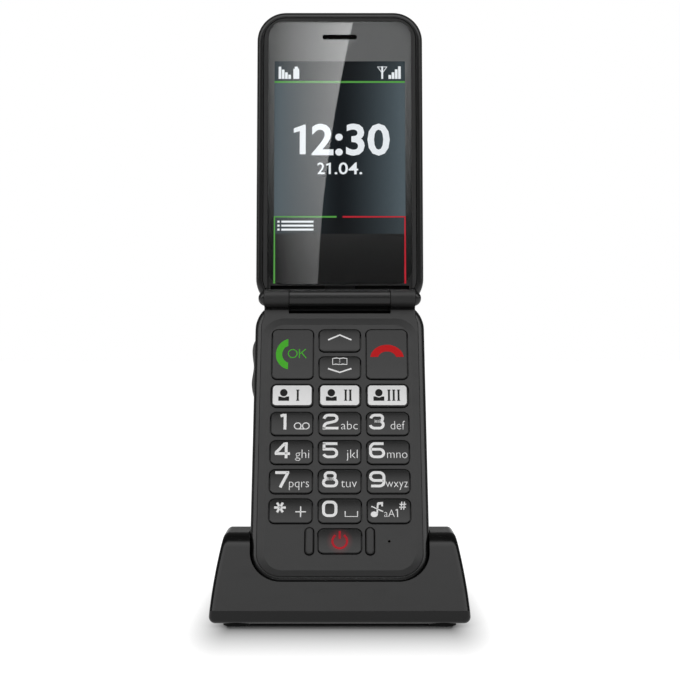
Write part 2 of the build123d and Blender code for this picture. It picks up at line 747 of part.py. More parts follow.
usb_depth, usb_width, usb_height = USB_SIZE
usb_outer = HALF_WIDTH - USB_WALL
usb_half = usb_width / 2
usb_low = board_under - usb_height
usb = block(
    usb_outer - usb_depth, usb_outer, USB_SPOT - usb_half, USB_SPOT + usb_half, usb_low, board_under
)
usb -= block(
    usb_outer - usb_depth + 1.0,
    usb_outer + REACH,
    USB_SPOT - usb_half + USB_WALL,
    USB_SPOT + usb_half - USB_WALL,
    usb_low + USB_WALL,
    board_under - USB_WALL,
)
keep("usb_socket", usb, ON_BASE)
keep("charge_pads", Compound(both_sides(charge_pad_form(0))), ON_BASE)

base_screws = []
for x, y in base_bosses:
    base_screws += both_sides(screw(x, y, head_level, board_under + 0.6, -1))
keep("base_screws", Compound(base_screws), ON_BASE)

pin_end = KNUCKLE_END - CAP_SPIGOT_LENGTH - 0.2
keep("hinge_pins", Compound(both_sides(rod(PIN_START, pin_end, PIN_RADIUS))), ON_BASE)
cap = cap_form(CAP_RADIUS, CAP_LENGTH, KNUCKLE_END + CAP_GAP)
cap += rod(KNUCKLE_END - CAP_SPIGOT_LENGTH, KNUCKLE_END + 2 * CAP_GAP, CAP_SPIGOT_RADIUS)
keep("hinge_end_caps", Compound(both_sides(cap)), ON_BASE)

# ---- lid ----------------------------------------------------------------------------------
lid_back_inside = SHELL_FLOOR - LID_DEPTH
lens_under = LENS_LEVEL - LENS_THICKNESS
frame_floor_top = lens_under - LENS_FIT
frame_under = frame_floor_top - FRAME_FLOOR
lid_head_level = frame_floor_top - SCREW_HEAD_HEIGHT
panel_top = lens_under - LENS_FIT
panel_under = panel_top - PANEL_THICKNESS
chassis_under = panel_under - CHASSIS_THICKNESS
lid_board_under = chassis_under - LID_BOARD_THICKNESS
(near_side, near_end), (far_side, far_end) = LID_BOSS_INSETS
lid_bosses = ((HALF_WIDTH - near_side, near_end), (HALF_WIDTH - far_side, HALF_LENGTH - far_end))
earpiece_start = EARPIECE_SPOT - EARPIECE_HALF_HEIGHT
earpiece_end = EARPIECE_SPOT + EARPIECE_HALF_HEIGHT


def hinge_room():
    """Space that the knuckles and end caps of the lower half need in the lid."""
    room = rod(BARREL_HALF_LENGTH, KNUCKLE_END + 0.2, KNUCKLE_RADIUS + HINGE_GAP)
    room += cap_form(CAP_RADIUS + HINGE_GAP, CAP_LENGTH + HINGE_GAP, KNUCKLE_END)
    return both_sides(room)


def lid_rear_shell():
    """Outer shell of the lid with the hinge barrel."""
    rim_level = LID_RIM_LEVEL - LID_RIM_DROP
    shell = lid_form(0, -LID_DEPTH, rim_level, LID_BACK_RADIUS, LID_RIM_RADIUS)
    shell -= lid_form(SEAM_INSET, lid_back_inside, REACH)
    for x, y in lid_bosses:
        boss = disc(x, y, lid_back_inside, frame_under - 0.05, BOSS_RADIUS)
        pilot = disc(x, y, lid_back_inside + 0.8, frame_under + 1, SCREW_SHANK_RADIUS + SCREW_FIT)
        for solid in both_sides(boss):
            shell += solid
        for cut in both_sides(pilot):
            shell -= cut
    for room in hinge_room():
        shell -= room
    shell += rod(-BARREL_HALF_LENGTH, BARREL_HALF_LENGTH, BARREL_RADIUS)
    bore = rod(PIN_START - 0.3, BARREL_HALF_LENGTH + 1, PIN_RADIUS + PIN_FIT)
    for cut in both_sides(bore):
        shell -= cut
    window_floor = 0.2 + WINDOW_THICKNESS - LID_DEPTH
    shell -= disc(*CAMERA_SPOT, -LID_DEPTH - 1, window_floor, WINDOW_RADIUS + 0.05)
    shell -= disc(*CAMERA_SPOT, -LID_DEPTH, lid_back_inside + 1, CAMERA_RADIUS)
    return shell


def lid_front_frame():
    """Frame round the lens, with a floor that carries the display and the earpiece."""
    frame = lid_form(SEAM_INSET + LID_SEAM_GAP, frame_under, LID_RIM_LEVEL)
    frame -= slab(
        0,
        LENS_START - LENS_FIT,
        LENS_END + LENS_FIT,
        frame_floor_top,
        REACH,
        LENS_HALF_WIDTH + LENS_FIT,
        LENS_RADIUS,
    )
    lens_foot = LENS_START + LENS_RADIUS
    frame -= block(-LENS_HALF_WIDTH, LENS_HALF_WIDTH, 0, lens_foot, frame_floor_top, REACH)
    slit_half = LENS_HALF_WIDTH - 1.0
    frame -= block(-slit_half, slit_half, 0, LENS_START - 0.4, frame_under - 1, REACH)
    border = PANEL_BORDER + 0.15
    low = frame_under - 1
    frame -= slab(
        0,
        DISPLAY_START - border,
        DISPLAY_END + border,
        low,
        REACH,
        DISPLAY_HALF_WIDTH + border,
        border + 0.05,
    )
    ear_room = (EARPIECE_HALF_WIDTH + 1.5, 0.8)
    frame -= slab(0, earpiece_start - 1.5, earpiece_end + 1.5, low, REACH, *ear_room)
    frame -= rod(-BARREL_HALF_LENGTH - 1, BARREL_HALF_LENGTH + 1, BARREL_RADIUS + 0.1)
    for room in hinge_room():
        frame -= room
    for x, y in lid_bosses:
        counterbore = disc(x, y, lid_head_level, REACH, SCREW_HEAD_RADIUS + SCREW_FIT)
        hole = disc(x, y, low, REACH, SCREW_SHANK_RADIUS + SCREW_FIT)
        for cut in both_sides(counterbore) + both_sides(hole):
            frame -= cut
    return frame


keep("lid_rear_shell", lid_rear_shell(), ON_LID)
keep("lid_front_frame", lid_front_frame(), ON_LID)

lens = slab(0, LENS_START, LENS_END, lens_under, LENS_LEVEL, LENS_HALF_WIDTH, LENS_RADIUS)
slot_radius = EARPIECE_HALF_HEIGHT - 0.01
lens -= slab(
    0, earpiece_start, earpiece_end, lens_under - 1, REACH, EARPIECE_HALF_WIDTH, slot_radius
)
keep("display_lens", lens, ON_LID)
mesh = slab(
    0,
    earpiece_start + LENS_FIT,
    earpiece_end - LENS_FIT,
    lens_under,
    lens_under + 0.5,
    EARPIECE_HALF_WIDTH - LENS_FIT,
    slot_radius - LENS_FIT,
)
keep("earpiece_mesh", mesh, ON_LID)

panel = slab(
    0,
    DISPLAY_START - PANEL_BORDER,
    DISPLAY_END + PANEL_BORDER,
    panel_under,
    panel_top,
    DISPLAY_HALF_WIDTH + PANEL_BORDER,
    PANEL_BORDER + 0.1,
)
keep("display_panel", panel, ON_LID)
chassis_end = DISPLAY_END + 3.9
chassis_half = LENS_HALF_WIDTH - 1.0
chassis = slab(0, CHASSIS_START, chassis_end, chassis_under, panel_under, chassis_half, 1.5)
keep("display_chassis", chassis, ON_LID)
earpiece = slab(
    0,
    earpiece_start - 1.2,
    earpiece_end + 1.2,
    chassis_under,
    panel_top,
    EARPIECE_HALF_WIDTH + 1.2,
    1,
)
keep("earpiece", earpiece, ON_LID)
lid_board_end = HALF_LENGTH - 11.0
lid_board_half = HALF_WIDTH - 7.0
keep(
    "lid_board",
    slab(0, LID_BOARD_START, lid_board_end, lid_board_under, chassis_under, lid_board_half, 1.5),
    ON_LID,
)
window_top = WINDOW_THICKNESS - LID_DEPTH
keep("camera_window", disc(*CAMERA_SPOT, -LID_DEPTH, window_top, WINDOW_RADIUS), ON_LID)
camera = disc(*CAMERA_SPOT, window_top + 0.25, lid_board_under, CAMERA_RADIUS - 0.1)
keep("camera_module", camera, ON_LID)
flex_top = chassis_under - 0.05
flex = block(
    -FLEX_HALF_WIDTH, FLEX_HALF_WIDTH, 3.6, LID_BOARD_START, flex_top - 0.3, flex_top
)
keep("flex_cable", flex, ON_LID)
lid_screws = []
for x, y in lid_bosses:
    lid_screws += both_sides(screw(x, y, lid_head_level, lid_back_inside + 1, 1))
keep("lid_screws", Compound(lid_screws), ON_LID)

# ---- cradle -------------------------------------------------------------------------------
slope = tan(radians(BASE_LEAN))


def front_plane_y(height):
    """Where the cradle's sloping front lies at a height, level with the phone's face."""
    return (height - HINGE_HEIGHT) * slope


cradle_front = front_plane_y(CRADLE_CREASE)
cradle_rear = cradle_front + CRADLE_DEPTH
foot_spots = [(CRADLE_HALF_WIDTH - FOOT_INSET, cradle_front + depth) for depth in FOOT_DEPTHS]
cradle_screw_spots = [
    (CRADLE_HALF_WIDTH - CRADLE_SCREW_INSET, cradle_front + depth) for depth in CRADLE_SCREW_DEPTHS
]
plate_top = CRADLE_UNDERSIDE + PLATE_THICKNESS


def cradle_side_view():
    """Side view of the cradle, from a low vertical band up the slope and down to the rear."""
    points = [
        (cradle_front, CRADLE_UNDERSIDE),
        (cradle_front, CRADLE_CREASE),
        (front_plane_y(CRADLE_SHOULDER), CRADLE_SHOULDER),
        (cradle_front + CRADLE_SHOULDER_DEPTH, CRADLE_SHOULDER),
        (cradle_rear, CRADLE_REAR_TOP),
        (cradle_rear, CRADLE_UNDERSIDE),
    ]
    rolls = {2: CRADLE_FRONT_ROLL, 3: CRADLE_BACK_ROLL, 4: CRADLE_REAR_ROLL}
    face = make_face(Polyline(*points, close=True))
    for corner, radius in rolls.items():
        y, z = points[corner]
        spot = Vector(y, z, 0)
        face = fillet(face.vertices().sort_by_distance(spot)[0], radius)
    return face


def cradle_front_view():
    """Front view of the cradle: sides that lean in more and more towards the top."""
    outline = []
    for inwards, rise in ((0.0, 0.0),) + CRADLE_TAPER:
        outline.append((CRADLE_HALF_WIDTH - inwards, CRADLE_UNDERSIDE + rise))
    mirrored = [(-x, z) for x, z in outline]
    return make_face(
        [
            Line(mirrored[0], outline[0]),
            ThreePointArc(*outline),
            Line(outline[2], mirrored[2]),
            ThreePointArc(*reversed(mirrored)),
        ]
    )


def cradle_block(inset):
    """Side view run across the width, trimmed by the front view."""
    side_view = cradle_side_view()
    front_view = cradle_front_view()
    if inset:
        side_view = offset(side_view, -inset, kind=Kind.INTERSECTION)
        front_view = offset(front_view, -inset, kind=Kind.INTERSECTION)
    side = extrude(Plane.YZ * side_view, CRADLE_HALF_WIDTH + 1, both=True)
    trim = extrude(Plane.XZ * front_view, CRADLE_DEPTH, both=True)
    return side & trim


def pocket(margin):
    """Room for the phone's free end, open upwards, closing in to a lip at the front."""
    half = HALF_WIDTH + POCKET_GAP + margin
    low = -HALF_LENGTH - POCKET_FLOOR_GAP - margin
    radius = END_RADIUS + POCKET_GAP + margin
    back = -BASE_DEPTH - POCKET_BACK_GAP - margin
    room = slab(0, 0, low, back, LIP_LEVEL, half, radius)
    room += flare(
        (0, low),
        (0, low + LIP_FLOOR_CLOSE),
        (LIP_LEVEL, half, radius),
        (LIP_TOP, half - LIP_SIDE_CLOSE, radius - LIP_SIDE_CLOSE),
    )
    return ON_BASE * room


def contact_pin_form(margin, extra):
    """Sprung pin below one contact stud of the phone."""
    level = back_inside + PAD_RADIUS + 0.8
    middle = -HALF_LENGTH - CONTACT_PIN_GAP - CONTACT_PIN_LENGTH / 2
    pin = Rot(X=90) * Cylinder(CONTACT_PIN_RADIUS + margin, CONTACT_PIN_LENGTH + extra)
    return Pos(PAD_PITCH / 2, middle, level) * pin


def seat_rib():
    """Rib on the pocket's floor that the phone stands on."""
    across, width, length = SEAT_RIB
    start = 2 - BASE_DEPTH
    return block(
        across - width / 2,
        across + width / 2,
        -HALF_LENGTH - SEAT_GAP,
        -HALF_LENGTH - POCKET_FLOOR_GAP - 0.5,
        start,
        start + length,
    )


def cradle_housing():
    """Hollow stand with a pocket for the phone and bosses for the floor plate."""
    body = cradle_block(0)
    top_half = CRADLE_HALF_WIDTH - CRADLE_TAPER[-1][0]
    rim = [e for e in body.edges() if abs(e.center().X) > top_half - 1]
    rim += [e for e in body.edges() if e.center().Z < CRADLE_UNDERSIDE + 0.01 and e not in rim]
    body = fillet(rim, CRADLE_EDGE_RADIUS)
    hollow = cradle_block(CRADLE_WALL)
    hollow += Pos(0, 0, -CRADLE_WALL) * hollow
    body -= hollow - pocket(CRADLE_WALL)
    for x, y in cradle_screw_spots:
        boss = disc(x, y, plate_top + 0.1, CRADLE_BOSS_TOP, CRADLE_BOSS_RADIUS)
        hole = disc(x, y, 0, CRADLE_BOSS_TOP - 6, CRADLE_SCREW_RADIUS + SCREW_FIT)
        for solid in both_sides(boss):
            body += solid
        for cut in both_sides(hole):
            body -= cut
    body -= pocket(0)
    for solid in both_sides(seat_rib()):
        body += ON_BASE * solid
    for solid in both_sides(contact_pin_form(CONTACT_PIN_FIT, 3)):
        body -= ON_BASE * solid
    width, depth, height = INLET_SIZE
    return body - block(
        -width / 2 - 0.1,
        width / 2 + 0.1,
        cradle_rear - depth,
        cradle_rear + REACH,
        INLET_HEIGHT - height / 2 - 0.1,
        INLET_HEIGHT + height / 2 + 0.1,
    )


keep("cradle_housing", cradle_housing())
for name, solid in zip(
    ("contact_pin_right", "contact_pin_left"), both_sides(contact_pin_form(0, 0))
):
    keep(name, solid, ON_BASE)

plate_inset = CRADLE_WALL + PLATE_GAP
head_sink = CRADLE_UNDERSIDE + 0.9
floor_plate = Pos(0, 0, -plate_inset) * cradle_block(plate_inset)
floor_plate &= block(
    -CRADLE_HALF_WIDTH, CRADLE_HALF_WIDTH, cradle_front, cradle_rear, CRADLE_UNDERSIDE, plate_top
)
cradle_screws = []
for x, y in cradle_screw_spots:
    hole = disc(x, y, 0, plate_top + 1, CRADLE_SCREW_RADIUS + SCREW_FIT)
    counterbore = disc(x, y, 0, head_sink, CRADLE_HEAD_RADIUS + 0.2)
    for cut in both_sides(hole) + both_sides(counterbore):
        floor_plate -= cut
    head = disc(x, y, head_sink - 0.05 - CRADLE_HEAD_HEIGHT, head_sink - 0.05, CRADLE_HEAD_RADIUS)
    shank = disc(x, y, head_sink - 0.1, CRADLE_BOSS_TOP / 2, CRADLE_SCREW_RADIUS)
    cradle_screws += both_sides(head + shank)
keep("cradle_floor_plate", floor_plate)
keep("cradle_screws", Compound(cradle_screws))
feet = [
    foot
    for x, y in foot_spots
    for foot in both_sides(disc(x, y, 0, CRADLE_UNDERSIDE, FOOT_RADIUS))
]
keep("cradle_feet", Compound(feet))
ballast_start, ballast_end = (cradle_front + depth for depth in BALLAST_DEPTHS)
ballast_top = plate_top + BALLAST_HEIGHT
keep(
    "cradle_ballast",
    block(
        -BALLAST_HALF_WIDTH, BALLAST_HALF_WIDTH, ballast_start, ballast_end, plate_top, ballast_top
    ),
)
inlet_x, inlet_y, inlet_z = INLET_SIZE
inlet_half = inlet_x / 2
inlet_low = INLET_HEIGHT - inlet_z / 2
inlet_back = cradle_rear - INLET_SINK
inlet_front = inlet_back - inlet_y
inlet = block(-inlet_half, inlet_half, inlet_front, inlet_back, inlet_low, inlet_low + inlet_z)
inlet -= block(
    INLET_WALL - inlet_half,
    inlet_half - INLET_WALL,
    inlet_front + 1,
    cradle_rear,
    inlet_low + INLET_WALL,
    inlet_low + inlet_z - INLET_WALL,
)
keep("cradle_power_inlet", inlet)
keep(
    "cradle_board",
    block(
        -CRADLE_BOARD_HALF_WIDTH,
        CRADLE_BOARD_HALF_WIDTH,
        ballast_end + 1.0,
        cradle_rear - 3,
        inlet_low - CRADLE_BOARD_THICKNESS,
        inlet_low,
    ),
)

# ---- origin under the middle of the whole part, on the table --------------------------------
boxes = [shape.bounding_box() for shape in pieces.values()]
middle_y = (min(box.min.Y for box in boxes) + max(box.max.Y for box in boxes)) / 2

os.makedirs("parts", exist_ok=True)
for name, shape in pieces.items():
    export_step(Pos(0, -middle_y, 0) * shape, f"parts/{name}.step")
print("pieces", len(pieces), "hinge axis at y", round(-middle_y, 3), "z", round(HINGE_HEIGHT, 3))
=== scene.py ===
import json
import math

import bmesh
import bpy
from mathutils import Matrix, Vector
from mathutils.bvhtree import BVHTree


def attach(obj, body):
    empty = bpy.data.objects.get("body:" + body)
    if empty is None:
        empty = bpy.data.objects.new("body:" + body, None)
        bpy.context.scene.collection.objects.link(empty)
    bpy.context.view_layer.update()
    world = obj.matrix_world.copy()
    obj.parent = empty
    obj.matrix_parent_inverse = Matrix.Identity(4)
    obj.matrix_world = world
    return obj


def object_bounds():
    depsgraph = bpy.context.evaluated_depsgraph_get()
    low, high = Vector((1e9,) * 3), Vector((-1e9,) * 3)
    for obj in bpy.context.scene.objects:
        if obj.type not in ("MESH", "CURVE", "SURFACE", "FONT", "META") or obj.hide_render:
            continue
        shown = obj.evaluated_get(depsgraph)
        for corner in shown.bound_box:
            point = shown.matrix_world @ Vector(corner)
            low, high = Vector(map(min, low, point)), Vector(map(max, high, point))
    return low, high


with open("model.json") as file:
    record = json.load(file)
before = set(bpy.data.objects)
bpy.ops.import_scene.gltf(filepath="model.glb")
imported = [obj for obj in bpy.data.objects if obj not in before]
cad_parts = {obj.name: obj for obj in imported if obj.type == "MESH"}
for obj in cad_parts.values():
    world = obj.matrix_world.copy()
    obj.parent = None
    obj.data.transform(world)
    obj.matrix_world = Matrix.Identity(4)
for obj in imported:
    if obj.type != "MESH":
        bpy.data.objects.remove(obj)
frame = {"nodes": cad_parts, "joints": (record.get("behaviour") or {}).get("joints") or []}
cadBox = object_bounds()
scene = bpy.context.scene
mm = 0.001
print("stage: frame loaded,", len(frame["nodes"]), "nodes")

# where the two halves stand, read from the joints
joints = {joint["name"]: joint for joint in frame["joints"]}
hingePoint = Vector(joints["lid_hinge"]["pos_m"])
openingDeg = max(joints["lid_hinge"]["range_deg"])
baseUp = Vector(joints["lift_out"]["axis"]).normalized()
sideways = Vector((1, 0, 0))
lidUp = Matrix.Rotation(math.radians(180 - openingDeg), 3, "X") @ baseUp


# a half's own directions: X across, Y along it from the hinge axis, Z out of its face
def halfPlace(up):
    rows = Matrix((sideways, up, sideways.cross(up))).transposed().to_4x4()
    return Matrix.Translation(hingePoint) @ rows


basePlace = halfPlace(baseUp)
lidPlace = halfPlace(lidUp)


def localBox(node, place):
    back = place.inverted()
    points = [back @ vertex.co for vertex in frame["nodes"][node].data.vertices]
    low = Vector(min(p[i] for p in points) for i in range(3)) / mm
    high = Vector(max(p[i] for p in points) for i in range(3)) / mm
    return low, high


# node helpers
def newMaterial(name):
    material = bpy.data.materials.new(name)
    material.use_nodes = True
    tree = material.node_tree
    tree.nodes.clear()
    output = tree.nodes.new("ShaderNodeOutputMaterial")
    shader = tree.nodes.new("ShaderNodeBsdfPrincipled")
    tree.links.new(shader.outputs["BSDF"], output.inputs["Surface"])
    return material, tree, shader


def addNode(tree, kind, settings=None, **inputs):
    node = tree.nodes.new(kind)
    for key, value in (settings or {}).items():
        setattr(node, key, value)
    for key, value in inputs.items():
        setInput(tree, node.inputs[key.replace("_", " ")], value)
    return node


def setInput(tree, socket, value):
    if isinstance(value, bpy.types.NodeSocket):
        tree.links.new(value, socket)
    else:
        socket.default_value = value


def math2(tree, operation, a, b=0.0, c=0.0):
    node = tree.nodes.new("ShaderNodeMath")
    node.operation = operation
    for socket, value in zip(node.inputs, (a, b, c)):
        setInput(tree, socket, value)
    return node.outputs[0]


def newGroup(name, inputs, outputs):
    group = bpy.data.node_groups.new(name, "ShaderNodeTree")
    for label, kind, value in inputs:
        socket = group.interface.new_socket(label, in_out="INPUT", socket_type=kind)
        socket.default_value = value
    for label, kind in outputs:
        group.interface.new_socket(label, in_out="OUTPUT", socket_type=kind)
    return group, group.nodes.new("NodeGroupInput"), group.nodes.new("NodeGroupOutput")


# spark-eroded grain of a moulded part, slow drift of tone and gloss, rubbed edges, and painted
# shade in narrow gaps
def makeMouldedGroup():
    group, given, result = newGroup(
        "mouldedGrainAndPaintedShade",
        [
            ("Grain size", "NodeSocketFloat", 0.25),
            ("Tone drift", "NodeSocketFloat", 0.08),
            ("Base tone", "NodeSocketColor", (0.05, 0.05, 0.05, 1)),
            ("Base roughness", "NodeSocketFloat", 0.45),
            ("Roughness drift", "NodeSocketFloat", 0.06),
            ("Edge width", "NodeSocketFloat", 0.2 * mm),
            ("Edge lift", "NodeSocketFloat", 0.3),
            ("Painted shade reach", "NodeSocketFloat", 1.5 * mm),
        ],
        [
            ("Tone", "NodeSocketColor"),
            ("Roughness", "NodeSocketFloat"),
            ("Height", "NodeSocketFloat"),
            ("Soft normal", "NodeSocketVector"),
        ],
    )
    coords = addNode(group, "ShaderNodeTexCoord").outputs["Object"]
    perMetre = math2(group, "DIVIDE", 1 / mm, given.outputs["Grain size"])
    grain = addNode(group, "ShaderNodeTexNoise", Vector=coords, Detail=3.0, Roughness=0.6)
    group.links.new(perMetre, grain.inputs["Scale"])
    drift = addNode(group, "ShaderNodeTexNoise", Vector=coords, Scale=70.0, Detail=4.0)
    centred = math2(group, "SUBTRACT", drift.outputs[0], 0.5)
    toneShift = math2(group, "MULTIPLY_ADD", centred, given.outputs["Tone drift"], 1.0)

    soft = addNode(group, "ShaderNodeBevel", {"samples": 4}, Radius=given.outputs["Edge width"])
    true = addNode(group, "ShaderNodeNewGeometry").outputs["Normal"]
    facing = addNode(group, "ShaderNodeVectorMath", {"operation": "DOT_PRODUCT"})
    group.links.new(soft.outputs["Normal"], facing.inputs[0])
    group.links.new(true, facing.inputs[1])
    bend = math2(group, "SUBTRACT", 1.0, facing.outputs["Value"])
    edge = addNode(group, "ShaderNodeMapRange", Value=bend)
    edge.inputs["From Min"].default_value = 0.01
    edge.inputs["From Max"].default_value = 0.2
    lifted = math2(
        group, "MULTIPLY_ADD", edge.outputs["Result"], given.outputs["Edge lift"], toneShift
    )

    # painted shade: the colour is darkened in narrow gaps by ambient occlusion, where shade
    # gathers
    gap = addNode(group, "ShaderNodeAmbientOcclusion", {"samples": 4})
    group.links.new(given.outputs["Painted shade reach"], gap.inputs["Distance"])
    openness = addNode(group, "ShaderNodeMapRange", Value=gap.outputs["AO"])
    openness.inputs["From Min"].default_value = 0.1
    openness.inputs["From Max"].default_value = 0.75
    lifted = math2(group, "MULTIPLY", lifted, openness.outputs["Result"])
    tone = addNode(group, "ShaderNodeVectorMath", {"operation": "SCALE"}, Scale=lifted)
    group.links.new(given.outputs["Base tone"], tone.inputs[0])
    gloss = math2(
        group,
        "MULTIPLY_ADD",
        centred,
        given.outputs["Roughness drift"],
        given.outputs["Base roughness"],
    )
    group.links.new(tone.outputs[0], result.inputs["Tone"])
    group.links.new(gloss, result.inputs["Roughness"])
    group.links.new(grain.outputs[0], result.inputs["Height"])
    group.links.new(soft.outputs["Normal"], result.inputs["Soft normal"])
    return group


# faint wipe marks and specks of dust, as a mask
def makeHandlingGroup():
    group, given, result = newGroup(
        "handlingMarks",
        [("Amount", "NodeSocketFloat", 0.2), ("Stretch", "NodeSocketFloat", 6.0)],
        [("Mask", "NodeSocketFloat")],
    )
    coords = addNode(group, "ShaderNodeTexCoord").outputs["Object"]
    stretched = addNode(group, "ShaderNodeVectorMath", {"operation": "MULTIPLY"})
    group.links.new(coords, stretched.inputs[0])
    shape = addNode(group, "ShaderNodeCombineXYZ", X=1.0, Z=1.0, Y=given.outputs["Stretch"])
    group.links.new(shape.outputs[0], stretched.inputs[1])
    wipes = addNode(
        group, "ShaderNodeTexNoise", Vector=stretched.outputs[0], Scale=160.0, Detail=6.0
    )
    marks = addNode(group, "ShaderNodeMapRange", Value=wipes.outputs[0])
    marks.inputs["From Min"].default_value = 0.52
    marks.inputs["From Max"].default_value = 0.78
    scaled = math2(group, "MULTIPLY", marks.outputs["Result"], given.outputs["Amount"])
    group.links.new(scaled, result.inputs["Mask"])
    return group


mouldedGrainAndPaintedShade = makeMouldedGroup()
handlingMarks = makeHandlingGroup()


def grey(level):
    value = level / 255
    linear = value / 12.92 if value < 0.04045 else ((value + 0.055) / 1.055) ** 2.4
    return (linear, linear, linear)


def screenColour(red, green, blue):
    return tuple(grey(level)[0] for level in (red, green, blue))


def surface(name, tone, roughness, grain=0.22, bump=0.05, specular=0.5, edge=0.2, lift=0.25,
            marks=0.06, metallic=0.0):
    material, tree, shader = newMaterial(name)
    group = addNode(tree, "ShaderNodeGroup", {"node_tree": mouldedGrainAndPaintedShade})
    group.inputs["Grain size"].default_value = grain
    group.inputs["Base tone"].default_value = (*tone, 1)
    group.inputs["Base roughness"].default_value = roughness
    group.inputs["Edge width"].default_value = edge * mm
    group.inputs["Edge lift"].default_value = lift
    wear = addNode(tree, "ShaderNodeGroup", {"node_tree": handlingMarks})
    wear.inputs["Amount"].default_value = marks
    rough = math2(tree, "ADD", group.outputs["Roughness"], wear.outputs["Mask"])
    tree.links.new(group.outputs["Tone"], shader.inputs["Base Color"])
    tree.links.new(rough, shader.inputs["Roughness"])
    shader.inputs["Specular IOR Level"].default_value = specular
    shader.inputs["Metallic"].default_value = metallic
    relief = addNode(tree, "ShaderNodeBump", Strength=bump, Distance=0.05 * mm)
    tree.links.new(group.outputs["Height"], relief.inputs["Height"])
    tree.links.new(group.outputs["Soft normal"], relief.inputs["Normal"])
    tree.links.new(relief.outputs["Normal"], shader.inputs["Normal"])
    return material


# printed ink: flat tone with a slightly uneven lay
def ink(name, tone, roughness=0.5):
    return surface(name, tone, roughness, grain=0.12, bump=0.01, specular=0.15, edge=0.01,
                   lift=0.0, marks=0.0)


# a black print on the back of the lens with a painted reflection: its colour fades from grey at
# the top to black at the hinge
def borderPrintPaintedReflection(name, bottom, top):
    material = surface(name, top, 0.6, bump=0.0, specular=0.0, edge=0.01, lift=0.0, marks=0.0)
    tree = material.node_tree
    coords = addNode(tree, "ShaderNodeTexCoord").outputs["Object"]
    along = addNode(tree, "ShaderNodeVectorMath", {"operation": "DOT_PRODUCT"})
    tree.links.new(coords, along.inputs[0])
    along.inputs[1].default_value = lidUp
    start = hingePoint.dot(lidUp)
    share = addNode(
        tree,
        "ShaderNodeMapRange",
        {"interpolation_type": "SMOOTHSTEP"},
        Value=along.outputs["Value"],
    )
    share.inputs["From Min"].default_value = start + 5 * mm
    share.inputs["From Max"].default_value = start + 90 * mm
    fade = addNode(tree, "ShaderNodeMix", {"data_type": "RGBA"})
    tree.links.new(share.outputs["Result"], fade.inputs["Factor"])
    fade.inputs[6].default_value = (*bottom, 1)
    fade.inputs[7].default_value = (*top, 1)
    group = next(node for node in tree.nodes if node.type == "GROUP")
    # no painted shade in the gaps of the print
    group.inputs["Painted shade reach"].default_value = 0.001 * mm
    tree.links.new(fade.outputs[2], group.inputs["Base tone"])
    return material


finishes = {
    "shell": surface("shellPlastic", grey(24), 0.24, specular=0.65, edge=0.15, marks=0.03),
    "fascia": surface("fasciaPlastic", grey(46), 0.44, bump=0.03, edge=0.12),
    "key": surface("keyPlastic", grey(14), 0.2, bump=0.015, edge=0.1, lift=0.1),
    "whiteKey": surface("whiteKeyPlastic", grey(238), 0.4, bump=0.02, specular=0.3, edge=0.05,
                        lift=0.0),
    "cradle": surface("cradlePlastic", grey(8), 0.18, bump=0.02, edge=0.2),
    "dark": surface("darkPlastic", grey(12), 0.5, lift=0.0),
    # black of the earpiece mesh, and of the painted shade strips in the hinge trough and round the
    # guard ribs
    "black": surface("blackMeshAndPaintedShade", grey(3), 0.7, specular=0.05, lift=0.0, marks=0.0),
    # the grey towards the top of the border is painted reflection on a black print
    "mask": borderPrintPaintedReflection("borderPrintPaintedReflection", grey(20), grey(124)),
    "rubber": surface("footRubber", grey(10), 0.75, bump=0.12, specular=0.3, lift=0.0),
    "legend": ink("legendInk", grey(247)),
    "blackInk": ink("blackInk", grey(30)),
    "green": ink("greenInk", screenColour(76, 178, 48)),
    "red": ink("redInk", screenColour(196, 26, 30)),
    "powerRed": ink("powerRedInk", screenColour(180, 32, 44)),
    "sos": surface("redPlastic", screenColour(170, 28, 30), 0.4, bump=0.03),
    "board": surface("boardGreen", (0.02, 0.08, 0.04), 0.45, lift=0.0),
    "steel": surface("plainSteel", grey(180), 0.32, grain=0.12, bump=0.04, lift=0.1, metallic=1.0),
    "gold": surface("goldPlate", screenColour(215, 175, 95), 0.25, grain=0.12, bump=0.03,
                    lift=0.1, metallic=1.0),
}


def lensMaterial(name, tint):
    material, tree, shader = newMaterial(name)
    shader.inputs["Transmission Weight"].default_value = 1.0
    shader.inputs["IOR"].default_value = 1.49
    shader.inputs["Base Color"].default_value = (*tint, 1)
    wear = addNode(tree, "ShaderNodeGroup", {"node_tree": handlingMarks})
    wear.inputs["Amount"].default_value = 0.012
    tree.links.new(wear.outputs["Mask"], shader.inputs["Roughness"])
    return material


finishes["lens"] = lensMaterial("lensSheet", (0.97, 0.98, 0.98))

# the picture on the display glows in its own colours, which rise towards the sides
picture = {
    "middle": screenColour(4, 12, 18),
    "side": (0.078, 0.104, 0.120),
    "reach": 20.0,
    "bend": 1.6,
    "barShare": 0.5,
}


# a lit sign: the plastic round it glows faintly in the same colour
def addHalo(material, centre, radius, tone):
    tree = material.node_tree
    coords = addNode(tree, "ShaderNodeTexCoord").outputs["Object"]
    away = addNode(tree, "ShaderNodeVectorMath", {"operation": "DISTANCE"})
    tree.links.new(coords, away.inputs[0])
    away.inputs[1].default_value = centre
    share = addNode(
        tree,
        "ShaderNodeMapRange",
        {"interpolation_type": "SMOOTHSTEP"},
        Value=away.outputs["Value"],
    )
    share.inputs["From Min"].default_value = radius * 1.7
    share.inputs["From Max"].default_value = radius * 0.7
    colour = addNode(tree, "ShaderNodeVectorMath", {"operation": "SCALE"})
    colour.inputs[0].default_value = tone
    tree.links.new(share.outputs["Result"], colour.inputs["Scale"])
    shader = next(node for node in tree.nodes if node.type == "BSDF_PRINCIPLED")
    tree.links.new(colour.outputs[0], shader.inputs["Emission Color"])
    shader.inputs["Emission Strength"].default_value = 1.0


